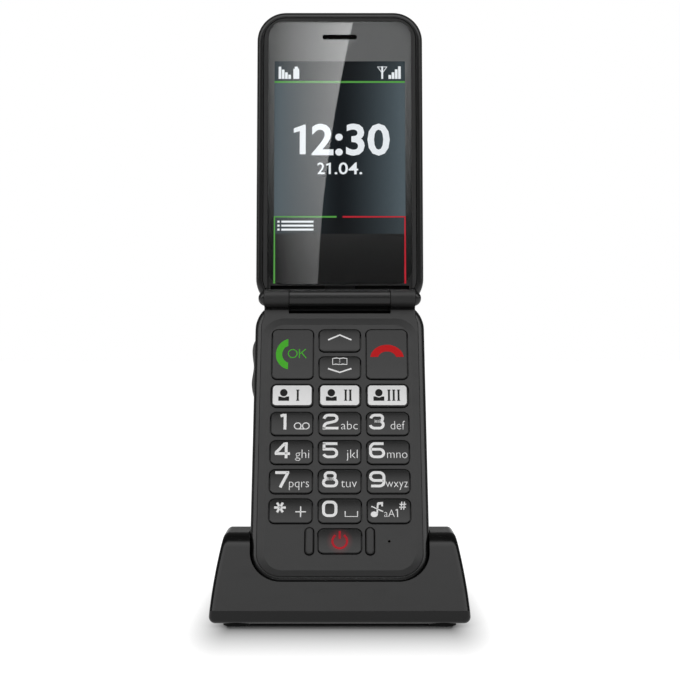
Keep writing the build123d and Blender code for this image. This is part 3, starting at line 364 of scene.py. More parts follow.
def glow(name, tone, strength=1.0):
    material, tree, shader = newMaterial(name)
    coords = addNode(tree, "ShaderNodeTexCoord").outputs["Object"]
    raster = addNode(tree, "ShaderNodeTexNoise", Vector=coords, Scale=900.0, Detail=1.0)
    level = addNode(tree, "ShaderNodeMapRange", Value=raster.outputs[0])
    level.inputs["To Min"].default_value = 0.94
    level.inputs["To Max"].default_value = 1.04
    colour = addNode(tree, "ShaderNodeVectorMath", {"operation": "SCALE"})
    setInput(tree, colour.inputs[0], tone(tree) if callable(tone) else tone)
    tree.links.new(level.outputs["Result"], colour.inputs["Scale"])
    shader.inputs["Base Color"].default_value = (0.001, 0.001, 0.001, 1)
    shader.inputs["Roughness"].default_value = 0.5
    shader.inputs["Specular IOR Level"].default_value = 0.0
    tree.links.new(colour.outputs[0], shader.inputs["Emission Color"])
    shader.inputs["Emission Strength"].default_value = strength
    return material


def wallpaperTone(tree):
    coords = addNode(tree, "ShaderNodeTexCoord").outputs["Object"]
    parts = addNode(tree, "ShaderNodeSeparateXYZ", Vector=coords)
    aside = math2(tree, "ABSOLUTE", parts.outputs["X"])
    share = math2(tree, "DIVIDE", aside, picture["reach"] * mm)
    bent = math2(tree, "POWER", share, picture["bend"])
    mix = addNode(tree, "ShaderNodeMix", {"data_type": "RGBA"})
    tree.links.new(math2(tree, "MINIMUM", bent, 1.0), mix.inputs["Factor"])
    mix.inputs[6].default_value = (*picture["middle"], 1)
    mix.inputs[7].default_value = (*picture["side"], 1)
    return mix.outputs[2]


finishes["wallpaper"] = glow("screenWallpaper", wallpaperTone)
finishes["screenBar"] = glow("screenBar", wallpaperTone, picture["barShare"])
finishes["screenWhite"] = glow("screenWhite", screenColour(240, 244, 248))
finishes["screenGreen"] = glow("screenGreen", screenColour(85, 160, 70))
finishes["screenRed"] = glow("screenRed", screenColour(190, 30, 45))
print("stage: materials")

# finishes on the construction
nodeFinish = {
    "cradle_housing": "cradle",
    "cradle_floor_plate": "cradle",
    "cradle_feet": "rubber",
    "base_front_shell": "fascia",
    "base_rear_shell": "shell",
    "battery_cover": "shell",
    "hinge_end_caps": "shell",
    "lid_rear_shell": "shell",
    "lid_front_frame": "fascia",
    "display_lens": "lens",
    "camera_window": "lens",
    "main_board": "board",
    "lid_board": "board",
    "cradle_board": "board",
    "contact_pin_right": "gold",
    "contact_pin_left": "gold",
    "charge_pads": "gold",
    "volume_rocker": "shell",
    "earpiece_mesh": "black",
    "sos_key": "sos",
}
steelNodes = (
    "cradle_screws cradle_ballast cradle_power_inlet shield_cans display_chassis base_screws "
    "lid_screws hinge_pins usb_socket sim_holder vibration_motor"
).split()

for name, node in frame["nodes"].items():
    finish = nodeFinish.get(name, "dark")
    if name in steelNodes:
        finish = "steel"
    if name.startswith("key_") and name != "key_dome_sheet":
        finish = "key"
    node.data.materials.clear()
    node.data.materials.append(finishes[finish])

powerLow, powerHigh = localBox("key_power", basePlace)
powerTop = basePlace @ (Vector((*((powerLow + powerHigh) / 2).xy, powerHigh.z)) * mm)
litKey = surface("litKeyPlastic", grey(16), 0.24, bump=0.02, edge=0.1, lift=0.1)
addHalo(litKey, powerTop, 2.6 * mm, screenColour(70, 14, 18))
frame["nodes"]["key_power"].data.materials[0] = litKey
print("stage: finishes on the construction")


# strokes that follow a path
def makeStrokeTree():
    tree = bpy.data.node_groups.new("strokeRibbon", "GeometryNodeTree")
    tree.interface.new_socket("Path", in_out="INPUT", socket_type="NodeSocketGeometry")
    for label, kind in (
        ("Stroke width", "NodeSocketFloat"),
        ("Corner radius", "NodeSocketFloat"),
        ("Ink", "NodeSocketMaterial"),
    ):
        tree.interface.new_socket(label, in_out="INPUT", socket_type=kind)
    tree.interface.new_socket("Ribbon", in_out="OUTPUT", socket_type="NodeSocketGeometry")
    given = tree.nodes.new("NodeGroupInput")
    result = tree.nodes.new("NodeGroupOutput")
    curve = addNode(tree, "GeometryNodeMeshToCurve", Mesh=given.outputs["Path"])
    rounded = addNode(
        tree,
        "GeometryNodeFilletCurve",
        {"mode": "POLY"},
        Curve=curve.outputs[0],
        Count=7,
        Radius=given.outputs["Corner radius"],
        Limit_Radius=True,
    )
    upright = addNode(
        tree, "GeometryNodeSetCurveNormal", {"mode": "Z_UP"}, Curve=rounded.outputs[0]
    )
    half = math2(tree, "MULTIPLY", given.outputs["Stroke width"], 0.5)
    back = math2(tree, "MULTIPLY", given.outputs["Stroke width"], -0.5)
    start = addNode(tree, "ShaderNodeCombineXYZ", X=back)
    end = addNode(tree, "ShaderNodeCombineXYZ", X=half)
    across = addNode(
        tree, "GeometryNodeCurvePrimitiveLine", Start=start.outputs[0], End=end.outputs[0]
    )
    ribbon = addNode(tree, "GeometryNodeCurveToMesh", Curve=upright.outputs[0])
    tree.links.new(across.outputs[0], ribbon.inputs["Profile Curve"])
    realised = addNode(tree, "GeometryNodeRealizeInstances", Geometry=ribbon.outputs[0])
    inked = addNode(tree, "GeometryNodeSetMaterial", Geometry=realised.outputs[0])
    tree.links.new(given.outputs["Ink"], inked.inputs["Material"])
    tree.links.new(inked.outputs[0], result.inputs["Ribbon"])
    return tree


strokeTree = makeStrokeTree()


def socketKey(tree, label):
    for item in tree.interface.items_tree:
        if item.item_type == "SOCKET" and item.in_out == "INPUT" and item.name == label:
            return item.identifier
    raise KeyError(label)


# flat drawings in millimetres, gathered in one mesh
class Drawing:
    def __init__(self):
        self.mesh = bmesh.new()

    def addMesh(self, mesh, matrix=None):
        before = set(self.mesh.verts)
        self.mesh.from_mesh(mesh)
        added = [v for v in self.mesh.verts if v not in before]
        if matrix:
            bmesh.ops.transform(self.mesh, matrix=matrix, verts=added)
        bpy.data.meshes.remove(mesh)

    def polygon(self, points):
        self.mesh.faces.new([self.mesh.verts.new((x, y, 0)) for x, y in points])

    def ring(self, outer, inner):
        loops = [[self.mesh.verts.new((x, y, 0)) for x, y in loop] for loop in (outer, inner)]
        count = len(outer)
        for i in range(count):
            j = (i + 1) % count
            self.mesh.faces.new((loops[0][i], loops[0][j], loops[1][j], loops[1][i]))

    def strokes(self, paths, width, corner=0.0):
        mesh = bpy.data.meshes.new("path")
        points, edges = [], []
        for path in paths:
            closed = path[0] == path[-1]
            path = path[:-1] if closed else path
            first = len(points)
            points += [(x, y, 0) for x, y in path]
            edges += [(first + i, first + i + 1) for i in range(len(path) - 1)]
            if closed:
                edges.append((len(points) - 1, first))
        mesh.from_pydata(points, edges, [])
        holder = bpy.data.objects.new("path", mesh)
        scene.collection.objects.link(holder)
        modifier = holder.modifiers.new("stroke", "NODES")
        modifier.node_group = strokeTree
        modifier[socketKey(strokeTree, "Stroke width")] = width
        modifier[socketKey(strokeTree, "Corner radius")] = corner
        modifier[socketKey(strokeTree, "Ink")] = finishes["legend"]
        shown = holder.evaluated_get(bpy.context.evaluated_depsgraph_get())
        ribbon = bpy.data.meshes.new_from_object(shown)
        bpy.data.objects.remove(holder)
        bpy.data.meshes.remove(mesh)
        self.addMesh(ribbon)

    # letters set to run from x0 to x1 with a given height of the small letters
    def text(self, words, x0, x1, baseline, height, heavy=0.0):
        curve = bpy.data.curves.new("letters", "FONT")
        curve.body = words
        curve.offset = heavy
        curve.resolution_u = 3
        holder = bpy.data.objects.new("letters", curve)
        scene.collection.objects.link(holder)
        bpy.context.view_layer.update()
        mesh = bpy.data.meshes.new_from_object(holder)
        left = min(v.co.x for v in mesh.vertices)
        right = max(v.co.x for v in mesh.vertices)
        bpy.data.objects.remove(holder)
        bpy.data.curves.remove(curve)
        wide = (x1 - x0) / (right - left)
        tall = height / (0.449 if words[0].islower() else 0.691)
        move = Matrix.Translation((x0 - left * wide, baseline, 0))
        self.addMesh(mesh, move @ Matrix.Diagonal((wide, tall, 1, 1)))

    def slice(self, step):
        rows = [v.co.y for v in self.mesh.verts]
        cut = math.floor(min(rows) / step) * step + step
        while cut < max(rows):
            everything = self.mesh.verts[:] + self.mesh.edges[:] + self.mesh.faces[:]
            bmesh.ops.bisect_plane(
                self.mesh, geom=everything, plane_co=(0, cut, 0), plane_no=(0, 1, 0), dist=1e-5
            )
            cut += step

    def faceOut(self):
        self.mesh.normal_update()
        for face in self.mesh.faces:
            if face.normal.z < 0:
                face.normal_flip()

    def piece(self, name, place, finish, body, slot):
        mesh = bpy.data.meshes.new(name)
        bmesh.ops.transform(
            self.mesh, matrix=place @ Matrix.Diagonal((mm, mm, mm, 1)), verts=self.mesh.verts
        )
        self.mesh.normal_update()
        self.mesh.to_mesh(mesh)
        self.mesh.free()
        mesh.materials.clear()
        mesh.materials.append(finishes[finish])
        for polygon in mesh.polygons:
            polygon.material_index = 0
        made = bpy.data.objects.new(name, mesh)
        scene.collection.objects.link(made)
        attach(made, body)
        return made


# drops a flat drawing on a piece that lies under it, a small way above its surface
def settle(drawing, target, place, lift):
    mesh = target.data
    tree = BVHTree.FromPolygons(
        [v.co for v in mesh.vertices], [p.vertices for p in mesh.polygons]
    )
    turn = place.to_3x3()
    out = (turn @ Vector((0, 0, 1))).normalized()
    back = place.inverted()
    lowest = None
    missed = []
    for vertex in drawing.mesh.verts:
        start = place @ Vector((vertex.co.x * mm, vertex.co.y * mm, 4 * mm))
        hit = tree.ray_cast(start, -out, 8 * mm)[0]
        if hit is None:
            missed.append(vertex)
            continue
        level = (back @ hit).z / mm
        lowest = level if lowest is None else min(lowest, level)
        vertex.co.z = level + lift
    for vertex in missed:
        vertex.co.z = lowest + lift
    return len(missed)


def roundedLoop(x0, x1, y0, y1, radius, steps=6):
    points = []
    for cx, cy, turn in (
        (x1 - radius, y1 - radius, 0),
        (x0 + radius, y1 - radius, 90),
        (x0 + radius, y0 + radius, 180),
        (x1 - radius, y0 + radius, 270),
    ):
        for i in range(steps + 1):
            angle = math.radians(turn + 90 * i / steps)
            points.append((cx + radius * math.cos(angle), cy + radius * math.sin(angle)))
    return points


def bar(drawing, x0, x1, y0, y1):
    drawing.polygon([(x0, y0), (x1, y0), (x1, y1), (x0, y1)])


def arcPoints(cx, cy, rx, ry, start, end, steps=14):
    angles = [math.radians(start + (end - start) * i / steps) for i in range(steps + 1)]
    return [(cx + rx * math.cos(a), cy + ry * math.sin(a)) for a in angles]


print("stage: drawing tools")

# digits, as strokes on a field from 0 to 1 both ways
digitStrokes = {
    "0": [[(0, 0), (0, 1), (1, 1), (1, 0), (0, 0)]],
    "1": [[(0.9, 1.1), (0.9, -0.11)], [(-0.45, 0.93), (0.6, 1.02)]],
    "2": [[(0, 0.74), (0.1, 1), (1, 1), (1, 0.57), (0, 0.34), (0, -0.11)], [(-0.1, 0), (1.11, 0)]],
    "3": [
        [(0.02, 0.76), (0.1, 1), (0.96, 1), (0.96, 0.54), (0.3, 0.54)],
        [(0.3, 0.54), (1, 0.54), (1, 0), (0.04, 0), (-0.02, 0.24)],
    ],
    "4": [
        [(0.8, 1.1), (0.8, -0.11)],
        [(0.7, 1.03), (-0.02, 0.32)],
        [(-0.11, 0.25), (1.11, 0.25)],
    ],
    "5": [
        [(1.05, 1), (-0.11, 1)],
        [(0, 1.05), (0, 0.52)],
        [(-0.1, 0.59), (1, 0.59), (1, 0), (0.06, 0), (-0.02, 0.2)],
    ],
    "6": [[(1.0, 1), (0, 1), (0, 0), (1, 0), (1, 0.58), (0.02, 0.58)]],
    "7": [[(-0.11, 1), (1.11, 1)], [(1.02, 1.02), (0.34, -0.11)]],
    "8": [
        [(0.12, 0.53), (0.12, 1), (0.88, 1), (0.88, 0.53), (0.12, 0.53)],
        [(0, 0), (0, 0.53), (1, 0.53), (1, 0), (0, 0)],
    ],
    "9": [[(0.04, 0), (1, 0), (1, 1), (0, 1), (0, 0.42), (0.98, 0.42)]],
}
digitStyle = {"stroke": 0.88, "corner": 1.35, "low": -1.92, "high": 3.29}
letterStyle = {"baseline": -1.92, "height": 1.9, "heavy": -0.014, "stroke": 0.3}

# digit and letters of each key, each with the reach of its drawing across the key
numberKeys = {
    "key_1": ("1", (-3.50, -1.57), "", ()),
    "key_2": ("2", (-5.30, -0.42), "abc", (0.42, 5.53)),
    "key_3": ("3", (-5.74, -0.92), "def", (0.91, 5.37)),
    "key_4": ("4", (-5.13, -0.42), "ghi", (1.19, 5.46)),
    "key_5": ("5", (-5.26, -0.48), "jkl", (2.07, 5.49)),
    "key_6": ("6", (-5.82, -0.91), "mno", (-0.30, 5.93)),
    "key_7": ("7", (-4.91, -0.56), "pqrs", (-0.60, 5.48)),
    "key_8": ("8", (-5.40, -0.47), "tuv", (0.38, 5.20)),
    "key_9": ("9", (-5.89, -0.93), "wxyz", (-0.85, 5.95)),
    "key_0": ("0", (-5.35, -0.71), "", ()),
}


def drawDigit(drawing, digit, reach):
    stroke, low, high = (digitStyle[key] for key in ("stroke", "low", "high"))
    x0, x1 = reach[0] + stroke / 2, reach[1] - stroke / 2
    y0, y1 = low + stroke / 2, high - stroke / 2
    paths = [
        [(x0 + (x1 - x0) * u, y0 + (y1 - y0) * v) for u, v in path]
        for path in digitStrokes[digit]
    ]
    drawing.strokes(paths, stroke, digitStyle["corner"])


def keyPlace(node):
    low, high = localBox(node, basePlace)
    middle = (low + high) / 2
    return basePlace @ Matrix.Translation((middle.x * mm, middle.y * mm, 0))


def printOn(node, drawing, finish, label, lift=0.02):
    place = keyPlace(node)
    drawing.slice(0.6)
    drawing.faceOut()
    missed = settle(drawing, frame["nodes"][node], place, lift)
    if missed:
        print("  not over its key:", label, missed)
    return drawing.piece(label, place, finish, node, "key_plastic")


for node, (digit, reach, letters, letterReach) in numberKeys.items():
    drawing = Drawing()
    drawDigit(drawing, digit, reach)
    if letters:
        drawing.text(
            letters,
            *letterReach,
            letterStyle["baseline"],
            letterStyle["height"],
            letterStyle["heavy"],
        )
    if node == "key_1":
        loops = [arcPoints(x, -0.72, 1.04, 1.04, -90, 270, 20) for x in (1.82, 4.36)]
        drawing.strokes(
            [*([*loop[:-1], loop[0]] for loop in loops), [(1.82, -1.76), (4.36, -1.76)]],
            letterStyle["stroke"],
        )
    if node == "key_0":
        tray = [(1.65, -0.02), (1.65, -1.77), (5.38, -1.77), (5.38, -0.02)]
        drawing.strokes([tray], letterStyle["stroke"])
    printOn(node, drawing, "legend", f"legend_{node}")

# star and plus, tone off with letter case and hash
drawing = Drawing()
for turn in (0, 60, 120):
    across = Vector((math.cos(math.radians(turn)), math.sin(math.radians(turn)))) * 1.75
    centre = Vector((-3.24, 1.13))
    drawing.strokes([[tuple(centre - across), tuple(centre + across)]], 0.72)
drawing.strokes([[(1.44, -0.23), (4.64, -0.23)], [(3.04, -1.95), (3.04, 1.49)]], 0.36)
printOn("key_star", drawing, "legend", "legend_key_star")

drawing = Drawing()
drawing.polygon(arcPoints(-4.42, -1.05, 1.08, 0.92, 0, 345, 23))
drawing.strokes([[(-3.55, -0.9), (-3.3, 2.6)]], 0.5)
drawing.strokes([[(-3.3, 2.4), (-1.75, 2.55)]], 0.75)
drawing.strokes([[(-2.05, 2.4), (-2.0, 1.5)]], 0.5)
drawing.strokes([[(-5.3, 1.55), (-1.75, -0.15)]], 0.34)
drawing.text("aA", -1.45, 1.75, -1.92, 1.62, -0.014)
drawing.strokes([[(2.6, 0.62), (2.6, -1.92)], [(2.05, 0.25), (2.55, 0.5)]], 0.28)
drawing.strokes([[(3.15, 1.25), (5.2, 1.25)], [(3.25, 2.15), (5.3, 2.15)]], 0.32)
drawing.strokes([[(3.7, 0.45), (3.95, 2.95)], [(4.5, 0.45), (4.75, 2.95)]], 0.32)
printOn("key_hash", drawing, "legend", "legend_key_hash")

# up and down
drawing = Drawing()
drawing.strokes([[(-3.7, 0.3), (0, 2.0), (3.7, 0.3)]], 0.5)
printOn("key_up", drawing, "legend", "legend_key_up")
drawing = Drawing()
drawing.strokes([[(-3.7, -0.2), (0, -1.55), (3.7, -0.2)]], 0.5)
page = [(0, 1.15), (-1.1, 1.35), (-2.25, 1.15), (-2.25, 3.2), (-1.1, 3.4), (0, 3.2), (0, 1.15)]
drawing.strokes([page, [(-x, y) for x, y in page]], 0.3)
printOn("key_down", drawing, "legend", "legend_key_down")


# handset arcs: the ring between two ellipses, ended by straight cuts
def arcBand(drawing, centre, outer, inner, start, end):
    outerLine = arcPoints(*centre, *outer, *start, 24)
    innerLine = arcPoints(*centre, *inner, *end, 24)
    for i in range(24):
        drawing.polygon((outerLine[i], outerLine[i + 1], innerLine[i + 1], innerLine[i]))


def cutAngle(reach, radius):
    return math.degrees(math.acos(reach / radius))


drawing = Drawing()
centre = (-0.60, 0.0)
outerTurn, innerTurn = cutAngle(0.86, 4.75), cutAngle(0.86, 2.75)
arcBand(
    drawing,
    centre,
    (4.75, 5.40),
    (2.75, 3.10),
    (180 - outerTurn, 180 + outerTurn),
    (180 - innerTurn, 180 + innerTurn),
)
letterO = arcPoints(-0.03, 0.25, 1.38, 1.42, 0, 360, 28)
drawing.strokes([[*letterO[:-1], letterO[0]]], 0.34)
drawing.strokes([[(2.1, 1.83), (2.1, -1.33)]], 0.34)
drawing.strokes([[(4.1, 1.83), (2.2, 0.1)], [(2.75, 0.6), (4.25, -1.33)]], 0.34)
printOn("key_ok", drawing, "green", "legend_key_ok")

drawing = Drawing()
arcBand(drawing, (0.1, -1.35), (5.3, 4.7), (2.85, 2.35), (175, 5), (170, 10))
printOn("key_end", drawing, "red", "legend_key_end")

drawing = Drawing()
drawing.strokes([arcPoints(0, 0, 2.2, 2.28, 125, 415, 32)], 0.66)
drawing.strokes([[(0, 3.15), (0, 0.75)]], 0.66)
printOn("key_power", drawing, "powerRed", "legend_key_power")

# memory keys: white plates with a person and a Roman number
memoryPlate = {"halfWide": 6.05, "halfHigh": 3.36, "corner": 1.05, "lift": 0.09, "skirt": 0.14}
memoryKeys = {
    "key_memory_1": ((-2.64, 0.96), (1.73,)),
    "key_memory_2": ((-2.64, 0.96), (1.85, 3.31)),
    "key_memory_3": ((-2.64, 0.96), (0.52, 2.02, 3.52)),
}
for node, (head, stems) in memoryKeys.items():
    place = keyPlace(node)
    plate = Drawing()
    wide, high = memoryPlate["halfWide"], memoryPlate["halfHigh"]
    plate.polygon(roundedLoop(-wide, wide, -high, high, memoryPlate["corner"], 8))
    plate.slice(0.4)
    plate.faceOut()
    settle(plate, frame["nodes"][node], place, memoryPlate["lift"])
    rim = [edge for edge in plate.mesh.edges if edge.is_boundary]
    walls = bmesh.ops.extrude_edge_only(plate.mesh, edges=rim)["geom"]
    for vertex in [part for part in walls if isinstance(part, bmesh.types.BMVert)]:
        vertex.co.z -= memoryPlate["skirt"]
    bmesh.ops.recalc_face_normals(plate.mesh, faces=plate.mesh.faces)
    up = max(plate.mesh.faces, key=lambda face: face.calc_area())
    if up.normal.z < 0:
        bmesh.ops.reverse_faces(plate.mesh, faces=plate.mesh.faces)
    plate.piece(f"plate_{node}", place, "whiteKey", node, "key_plastic")

    drawing = Drawing()
    drawing.polygon(arcPoints(*head, 1.17, 1.24, 0, 345, 23))
    x, y = head
    notch = arcPoints(x, y, 1.5, 1.6, 236, 304, 10)
    drawing.polygon(
        [(x - 1.68, -0.3), (x - 1.68, -1.82), (x + 1.68, -1.82), (x + 1.68, -0.3), *notch[::-1]]
    )
    for stem in stems:
        drawing.strokes([[(stem, -1.7), (stem, 1.9)]], 0.6)
        serifs = [[(stem - 0.5, level), (stem + 0.5, level)] for level in (-1.68, 1.86)]
        drawing.strokes(serifs, 0.28)
    printOn(node, drawing, "blackInk", f"legend_{node}", 0.11)
print("stage: legends")

# painted shade: a matt black strip in the trough behind the barrel, and black in the grooves of
# the guard ribs, laid where there is only shade
paintedShadeStrips = {
    "troughHalf": 16.3,
    "troughFrom": -4.78,
    "troughTo": -3.2,
    "ribAside": 9.125,
    "ribHalf": 1.22,
    "ribFrom": -86.43,
    "ribTo": -78.01,
    "groove": 0.26,
}
drawing = Drawing()
bar(drawing, -paintedShadeStrips["troughHalf"], paintedShadeStrips["troughHalf"], paintedShadeStrips["troughFrom"], paintedShadeStrips["troughTo"])
drawing.slice(0.3)
drawing.faceOut()
settle(drawing, frame["nodes"]["base_front_shell"], basePlace, 0.03)
drawing.piece("hinge_trough_painted_shade", basePlace, "black", "phone_base", "shell_plastic")


def ribLoop(middleX, spread):
    half = paintedShadeStrips["ribHalf"] + spread
    low, high = paintedShadeStrips["ribFrom"] - spread, paintedShadeStrips["ribTo"] + spread
    return roundedLoop(middleX - half, middleX + half, low, high, half * 0.98, 8)


# painted shade: black rings round the guard ribs
drawing = Drawing()
for middleX in (-paintedShadeStrips["ribAside"], paintedShadeStrips["ribAside"]):
    drawing.ring(ribLoop(middleX, paintedShadeStrips["groove"]), ribLoop(middleX, 0.0))
drawing.faceOut()
settle(drawing, frame["nodes"]["base_front_shell"], basePlace, 0.02)
drawing.piece("rib_groove_painted_shade", basePlace, "black", "phone_base", "shell_plastic")

# behind the lens
lensLow, lensHigh = localBox("display_lens", lidPlace)
panelTop = localBox("display_panel", lidPlace)[1].z
window = {"half": 21.33, "low": 21.3, "high": 78.6, "overlap": 0.15}
layers = {"border": -0.018, "tabLine": -0.008, "screen": 0.006, "step": 0.007}
border = Drawing()
border.ring(
    roundedLoop(lensLow.x + 0.02, lensHigh.x - 0.02, lensLow.y + 0.02, lensHigh.y - 0.02, 5.0),
    roundedLoop(-window["half"], window["half"], window["low"], window["high"], 0.05),
)
border.faceOut()
for vertex in border.mesh.verts:
    vertex.co.z = lensLow.z + layers["border"]
border.piece("lens_border", lidPlace, "mask", "lid", "display")


def screenPiece(name, drawing, finish, layer):
    drawing.faceOut()
    for vertex in drawing.mesh.verts:
        vertex.co.z = panelTop + layers["screen"] + layers["step"] * layer
    drawing.piece(name, lidPlace, finish, "lid", "display")


# lines that run from the picture out over the border, just under the lens
def borderLine(name, path, finish):
    drawing = Drawing()
    drawing.strokes([path], screen["tabStroke"])
    drawing.faceOut()
    for vertex in drawing.mesh.verts:
        vertex.co.z = lensLow.z + layers["tabLine"]
    drawing.piece(name, lidPlace, finish, "lid", "display")


screen = {
    "statusLine": 71.66,
    "tabLine": 26.89,
    "line": 0.6,
    "tabStroke": 0.56,
    "tabSide": 21.15,
    "tabFoot": 0.3,
    "clock": "12:30",
    "clockRows": (47.55, 57.43),
    "date": "21.04.",
    "dateRows": (41.0, 44.8),
}
spare = window["overlap"]
half, low, high = window["half"] + spare, window["low"] - spare, window["high"] + spare
drawing = Drawing()
bar(drawing, -half, half, screen["tabLine"], screen["statusLine"])
screenPiece("screen_wallpaper", drawing, "wallpaper", 0)
drawing = Drawing()
bar(drawing, -half, half, screen["statusLine"], high)
bar(drawing, -half, half, low, screen["tabLine"])
screenPiece("screen_bars", drawing, "screenBar", 0)

thin = screen["line"] / 2
drawing = Drawing()
bar(drawing, -half, half, screen["statusLine"] - thin, screen["statusLine"] + thin)
screenPiece("screen_status_line", drawing, "screenGreen", 1)
tab, foot, side = screen["tabLine"], lensLow.y + screen["tabFoot"], screen["tabSide"]
borderLine("screen_green_tab", [(-1.05, tab), (-side, tab), (-side, foot)], "screenGreen")
borderLine("screen_red_tab", [(0.95, tab), (side, tab), (side, foot)], "screenRed")


# the figure one with a sloping flag
def one(drawing, x0, x1, y0, y1, stem):
    rise = y1 - y0
    drawing.polygon([(x1 - stem, y0), (x1, y0), (x1, y1), (x1 - stem * 0.25, y1)])
    drawing.polygon([(x1 - stem, y0), (x1 - stem * 0.25, y1), (x1 - stem, y1 - rise * 0.07)])
    drawing.polygon(
        [
            (x0, y1 - rise * 0.28),
            (x1 - stem, y1 - rise * 0.22),
            (x1 - stem * 0.25, y1),
            (x0, y1 - rise * 0.13),
        ]
    )


drawing = Drawing()
one(drawing, -15.0, -11.1, *screen["clockRows"], 1.95)
drawing.text(screen["clock"][1:], -9.2, 16.3, screen["clockRows"][0], 9.88, 0.022)
screenPiece("screen_clock", drawing, "screenWhite", 1)
drawing = Drawing()
drawing.text(screen["date"][0], -7.3, -4.9, screen["dateRows"][0], 3.8, 0.01)
one(drawing, -4.4, -2.9, *screen["dateRows"], 0.7)
drawing.text(screen["date"][2:], -1.7, 7.3, screen["dateRows"][0], 3.8, 0.01)
screenPiece("screen_date", drawing, "screenWhite", 1)

# status icons: two level meters, battery and aerial; the list key has a plain list sign
icons = {
    "foot": 72.7,
    "step": 1.05,
    "batteryLevels": (-20.0, -19.13, (4.1, 3.1, 2.2, 1.4)),
    "signalLevels": (15.95, 16.82, (1.3, 2.2, 3.2, 4.2)),
    "listRows": (22.7, 24.0, 25.3),
    "listHalf": 0.33,
}


def levelMeter(drawing, start, end, heights):
    for i, height in enumerate(heights):
        shift = i * icons["step"]
        bar(drawing, start + shift, end + shift, icons["foot"], icons["foot"] + height)


drawing = Drawing()
levelMeter(drawing, *icons["batteryLevels"])
bar(drawing, -15.2, -13.25, icons["foot"], 76.1)
bar(drawing, -14.75, -13.7, 76.1, 76.8)
levelMeter(drawing, *icons["signalLevels"])
drawing.strokes([[(13.9, icons["foot"]), (13.9, 76.9)]], 0.6)
drawing.strokes([[(12.4, 76.7), (13.9, 74.6), (15.4, 76.7), (12.4, 76.7)]], 0.42)
for level in icons["listRows"]:
    rows = (level - icons["listHalf"], level + icons["listHalf"])
    bar(drawing, -20.2, -19.5, *rows)
    bar(drawing, -18.9, -8.5, *rows)
screenPiece("screen_icons", drawing, "screenWhite", 1)
print("stage: display")

# camera
viewpoint = {"distance": 0.540, "hingeAboveAxis": 0.01337, "aside": 0.00008, "lens": 88.94}
cameraData = bpy.data.cameras.new("camera")
cameraData.lens = viewpoint["lens"]
cameraData.sensor_width = 36
cameraData.clip_start = 0.01
camera = bpy.data.objects.new("camera", cameraData)
camera.location = hingePoint + Vector(
    (viewpoint["aside"], -viewpoint["distance"], -viewpoint["hingeAboveAxis"])
)
camera.rotation_euler = (math.radians(90), 0, 0)
scene.collection.objects.link(camera)
scene.camera = camera

# floor, lamps and surroundings
studio = {
    "floorTone": 0.16,
    # the floor stops glowing inside this, so the shade round the foot is mostly drawn
    "floorHalf": (0.032, 0.029),
    "floorSteep": 4.0,
    "floorLift": (0.0, 1.0),
    "floorFade": (0.005, 0.06),
    "floorBend": 0.65,
    "floorMirrored": 0.45,
    "ambient": 0.5,
    "mirrorGain": 4.0,
    # strength of the reflected room by the angle up from straight ahead and over the top.
    # It is shaped to this object and not plain light: for that, every level is 1, the
    # panel's levels are 0 and floorMirrored is 1
    "mirror": (
        (0, 0.35), (8, 0.22), (14, 0.11), (31, 0.10), (36, 0.25), (41, 1.15), (46, 1.35),
        (57, 1.5), (66, 1.8), (72, 1.0), (78, 0.10), (110, 0.05), (132, 0.06), (157, 0.08),
        (172, 0.12), (176, 0.2), (180, 0.8),
    ),
    # a bright panel to the left in the mirrored room, in low angles, stronger to its edge
    "panel": ((15.2, 1.15), (23.5, 4.3)),
    "panelStart": -0.0417,
    "panelEdge": (-0.0137, 0.0006, 0.00022),
    "panelBlur": 0.0004,
    "panelFrom": 15.0,
    "panelEnd": (34.0, 27.0),
    "insideLens": 0.3,
    # place, side and power of each lamp
    "lamps": {
        "keyLamp": ((-0.7, -0.9, 0.8), 0.7, 4.5),
        "fillLamp": ((0.9, -0.6, 0.5), 0.7, 1.6),
        "topLamp": ((0.0, 0.1, 1.1), 0.9, 4.0),
        "backLamp": ((0.4, 1.0, 0.5), 0.8, 3.5),
    },
}


def seenRay(tree, *kinds):
    path = tree.nodes.new("ShaderNodeLightPath")
    total = path.outputs[kinds[0]]
    for kind in kinds[1:]:
        total = math2(tree, "MAXIMUM", total, path.outputs[kind])
    return total


